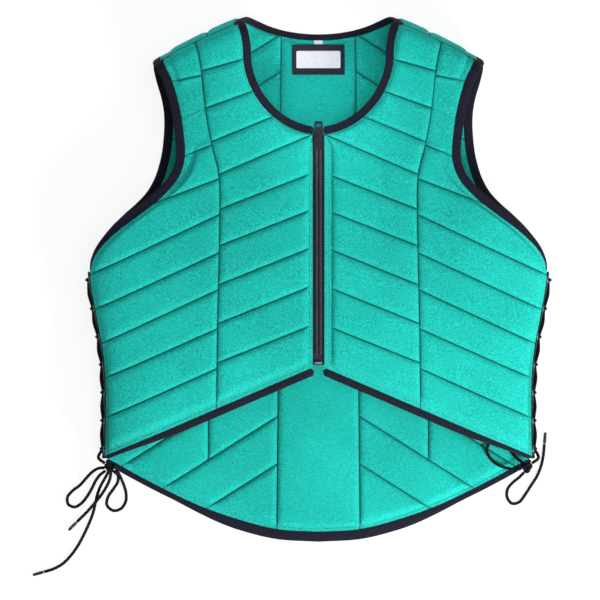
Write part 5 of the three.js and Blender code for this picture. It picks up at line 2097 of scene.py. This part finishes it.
@dataclass(frozen=True)
class Labels:
    """The cloth labels sewn inside the back of the neck; their faces are bare."""

    up: float = 247.5
    backing_size: tuple[float, float, float] = (59.0, 34.0, 0.9)
    patch_size: tuple[float, float, float] = (49.5, 19.4, 0.5)
    tab_size: tuple[float, float, float] = (9.8, 4.2, 0.6)
    frame: float = 0.35
    corner_power: int = 26
    border_inset: float = 1.6
    border_half: float = 1.1
    edge_turn: float = 0.35
    wave: float = 0.06
    # The narrowest label that counts as a sheet
    sheet_from: float = 10.0
    stitches: Stitches = Stitches(pitch=2.2, length=1.5, thick=0.6)

    def cloth(self, size: tuple[float, float, float], up: float, low: float, frame: float) -> Shape:
        """A flat label with rounded corners, its edge turned and a little raised.

        Args:
            size: across, along and thick.
            up: the height of its middle.
            low: the level of its underside.
            frame: how much its border stands up.

        Returns:
            A slab whose square grid is pulled in at the corners, by a super-ellipse.
        """
        a = np.linspace(-1, 1, 46)
        u, w = np.meshgrid(a, a)
        square, power = np.maximum(np.abs(u), np.abs(w)), self.corner_power
        pull = np.maximum(1e-9, np.abs(u) ** power + np.abs(w) ** power) ** (-1 / power) * square
        share = np.clip((square - 0.9) / 0.1, 0, 1)
        pull = 1 + (pull - 1) * share
        x, y = u * pull * size[0] / 2, w * pull * size[1] / 2 + up
        edge = np.minimum(size[0] / 2 * (1 - np.abs(u)), size[1] / 2 * (1 - np.abs(w)))
        border = frame * np.exp(-(((edge - self.border_inset) / self.border_half) ** 2))
        turned = self.edge_turn * size[2] * np.exp(-edge / self.edge_turn)
        wave = self.wave * np.sin(x / 5 + y / 7)
        top = np.stack([x, y, low + size[2] + border - turned + wave * (edge > 0.3)], -1)
        under = np.stack([x, y, np.full_like(x, low) + turned], -1)
        return slab(top, under, np.stack([x, y], -1), {})

    def build(self, maker: Maker, wardrobe: Wardrobe) -> None:
        """Makes the backing, the bare patch, the small tab and the stitches round the patch."""
        inner = FORM.foam + FORM.seam_gap
        patch_low = inner + self.backing_size[2] + FORM.seam_gap
        backing = maker.piece("label_backing_cloth",
                              self.cloth(self.backing_size, self.up, inner, self.frame),
                              wardrobe.backing, ("label_backing",))
        patch = maker.piece("label_patch_cloth",
                            self.cloth(self.patch_size, self.up, patch_low, 0.0),
                            wardrobe.satin, ("label_patch",))
        tab_up = FORM.back_neck_base - self.tab_size[1] / 2
        tab = maker.piece("size_tab_cloth", self.cloth(self.tab_size, tab_up, inner, 0.0),
                          wardrobe.satin, ("size_tab",))
        half = np.array(self.backing_size[:2]) / 2 - 0.2
        corners = np.array([(-1, -1), (1, -1), (1, 1), (-1, 1),
                            (-1, -1)]) * half + np.array([0, self.up])
        level = inner + self.backing_size[2] + self.frame
        line = np.concatenate([np.linspace(a, b, 30, endpoint=False)
                               for a, b in zip(corners[:-1], corners[1:])])
        line = np.column_stack([line, np.full(len(line), level)])
        row = self.stitches.row(line, np.tile([0.0, 0.0, 1.0], (len(line), 1)))
        maker.piece("label_stitches", row, wardrobe.backing)


@dataclass(frozen=True)
class Hardware:
    """The solids that stay as they are: strips, slider, pull tab and stop."""

    weld: float = 0.00001
    metal_bevel: float = 0.00035
    cloth_bevel: float = 0.0004
    bevel_from: float = 40.0

    def dress(self, frame: dict, wardrobe: Wardrobe) -> None:
        """Gives each kept solid its finish and softened edges.

        Args:
            wardrobe: the finishes.
        """
        kept = {"zip_slider": (wardrobe.metal, self.metal_bevel),
                "zip_pull_tab": (wardrobe.metal, self.metal_bevel),
                "zip_bottom_stop": (wardrobe.silver, self.metal_bevel)}
        for side in Side:
            for strip in ("front_lacing_strip", "back_lacing_strip"):
                kept[f"{strip}_{side.word}"] = (wardrobe.strip, self.cloth_bevel)
        for name, (material, bevel) in kept.items():
            node = frame["nodes"][name]
            for slot in node.material_slots:
                slot.material = material
            merge = node.modifiers.new("merge", "WELD")
            merge.merge_threshold = self.weld
            edge = node.modifiers.new("edge", "BEVEL")
            edge.width, edge.segments, edge.limit_method = bevel, 2, "ANGLE"
            edge.angle_limit = math.radians(self.bevel_from)
            log.info("%s keeps its solid", name)


@dataclass(frozen=True)
class SoftLight:
    """A square soft light: its name, where it hangs, the length of its side and its watts."""

    name: str
    place: tuple[float, float, float]
    size: float
    power: float

    def hang(self) -> bpy.types.Object:
        """Makes the light, turned towards the vest."""
        data = bpy.data.lights.new(self.name, "AREA")
        data.size, data.energy = self.size, self.power
        lamp = bpy.data.objects.new(self.name, data)
        lamp.location = self.place
        lamp.rotation_euler = Vector(self.place).normalized().to_track_quat("Z", "Y").to_euler()
        bpy.context.scene.collection.objects.link(lamp)
        return lamp


@dataclass(frozen=True)
class Studio:
    """The camera straight above, the pale floor and the soft lights."""

    # The middle of the photograph on the vest, and the width that it shows
    centre: tuple[float, float] = (-0.0207, -0.0233)
    width: float = 0.672
    level: float = 0.05
    distance: float = 9.0
    sensor: float = 36.0
    floor_half: float = 12.0
    floor_drop: float = 0.0004
    floor_glow: float = 0.86
    floor_pale: float = 0.2
    sky: float = 0.34
    sky_colour: tuple[float, float, float, float] = (0.96, 0.98, 1.0, 1.0)
    key: SoftLight = SoftLight("key", (1.0, -1.15, 0.95), 0.5, 37)
    fill: SoftLight = SoftLight("fill", (0.7, 0.1, 3.2), 1.6, 29)
    # A narrow light straight down into the neck, for the label
    neck: SoftLight = SoftLight("neck", (0.0, 0.215, 0.55), 0.12, 0.035)
    neck_spread: float = 20.0

    def camera(self) -> None:
        """A long lens straight above the vest."""
        data = bpy.data.cameras.new("camera")
        data.sensor_width = self.sensor
        data.lens = self.sensor * (self.distance - self.level) / self.width
        data.clip_start, data.clip_end = 0.1, 100.0
        camera = bpy.data.objects.new("camera", data)
        camera.location = (*self.centre, self.distance)
        bpy.context.scene.collection.objects.link(camera)
        bpy.context.scene.camera = camera

    def floor(self) -> None:
        """A plain pale floor, just white in the light, so no edge over it is bleached."""
        h, drop = self.floor_half, self.floor_drop
        mesh = bpy.data.meshes.new("floor")
        mesh.from_pydata([(-h, -h, -drop), (h, -h, -drop), (h, h, -drop), (-h, h, -drop)], [],
                         [(0, 1, 2, 3)])
        material, _, shader = Finish("pale_floor", roughness=0.9, specular=0.0).start()
        shader.inputs["Base Color"].default_value = (self.floor_pale,) * 3 + (1,)
        shader.inputs["Emission Color"].default_value = (1, 1, 1, 1)
        shader.inputs["Emission Strength"].default_value = self.floor_glow
        mesh.materials.append(material)
        made = bpy.data.objects.new("floor", mesh)
        bpy.context.scene.collection.objects.link(made)

    def lights(self) -> None:
        """An even pale sky, and a key light from the lower right of the photograph."""
        world = bpy.data.worlds.new("sky")
        world.use_nodes = True
        background = world.node_tree.nodes["Background"]
        background.inputs[0].default_value = self.sky_colour
        background.inputs[1].default_value = self.sky
        bpy.context.scene.world = world
        self.key.hang()
        self.fill.hang()
        neck = self.neck.hang()
        neck.data.spread = math.radians(self.neck_spread)
        neck.rotation_euler = (0, 0, 0)
        bpy.context.scene.view_settings.view_transform = "Standard"


def main() -> None:
    """Builds the vest's looks round its solids, in order."""
    logging.basicConfig(level=logging.INFO, format="%(name)s: %(message)s")
    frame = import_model()
    low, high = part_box("label_patch")
    shift = (0.0, (low[1] + high[1]) / 2 / METRES - Labels().up, 0.0)
    maker = Maker(shift)
    studio = Studio()
    studio.camera()
    wardrobe = Wardrobe.fill()
    Bows().build(maker, wardrobe)
    Padding().build(maker, wardrobe)
    Trim().build(maker, wardrobe)
    Lacing().build(maker, wardrobe)
    Zip().build(maker, wardrobe)
    Labels().build(maker, wardrobe)
    Hardware().dress(frame, wardrobe)
    studio.floor()
    studio.lights()


if __name__ == "__main__":
    main()
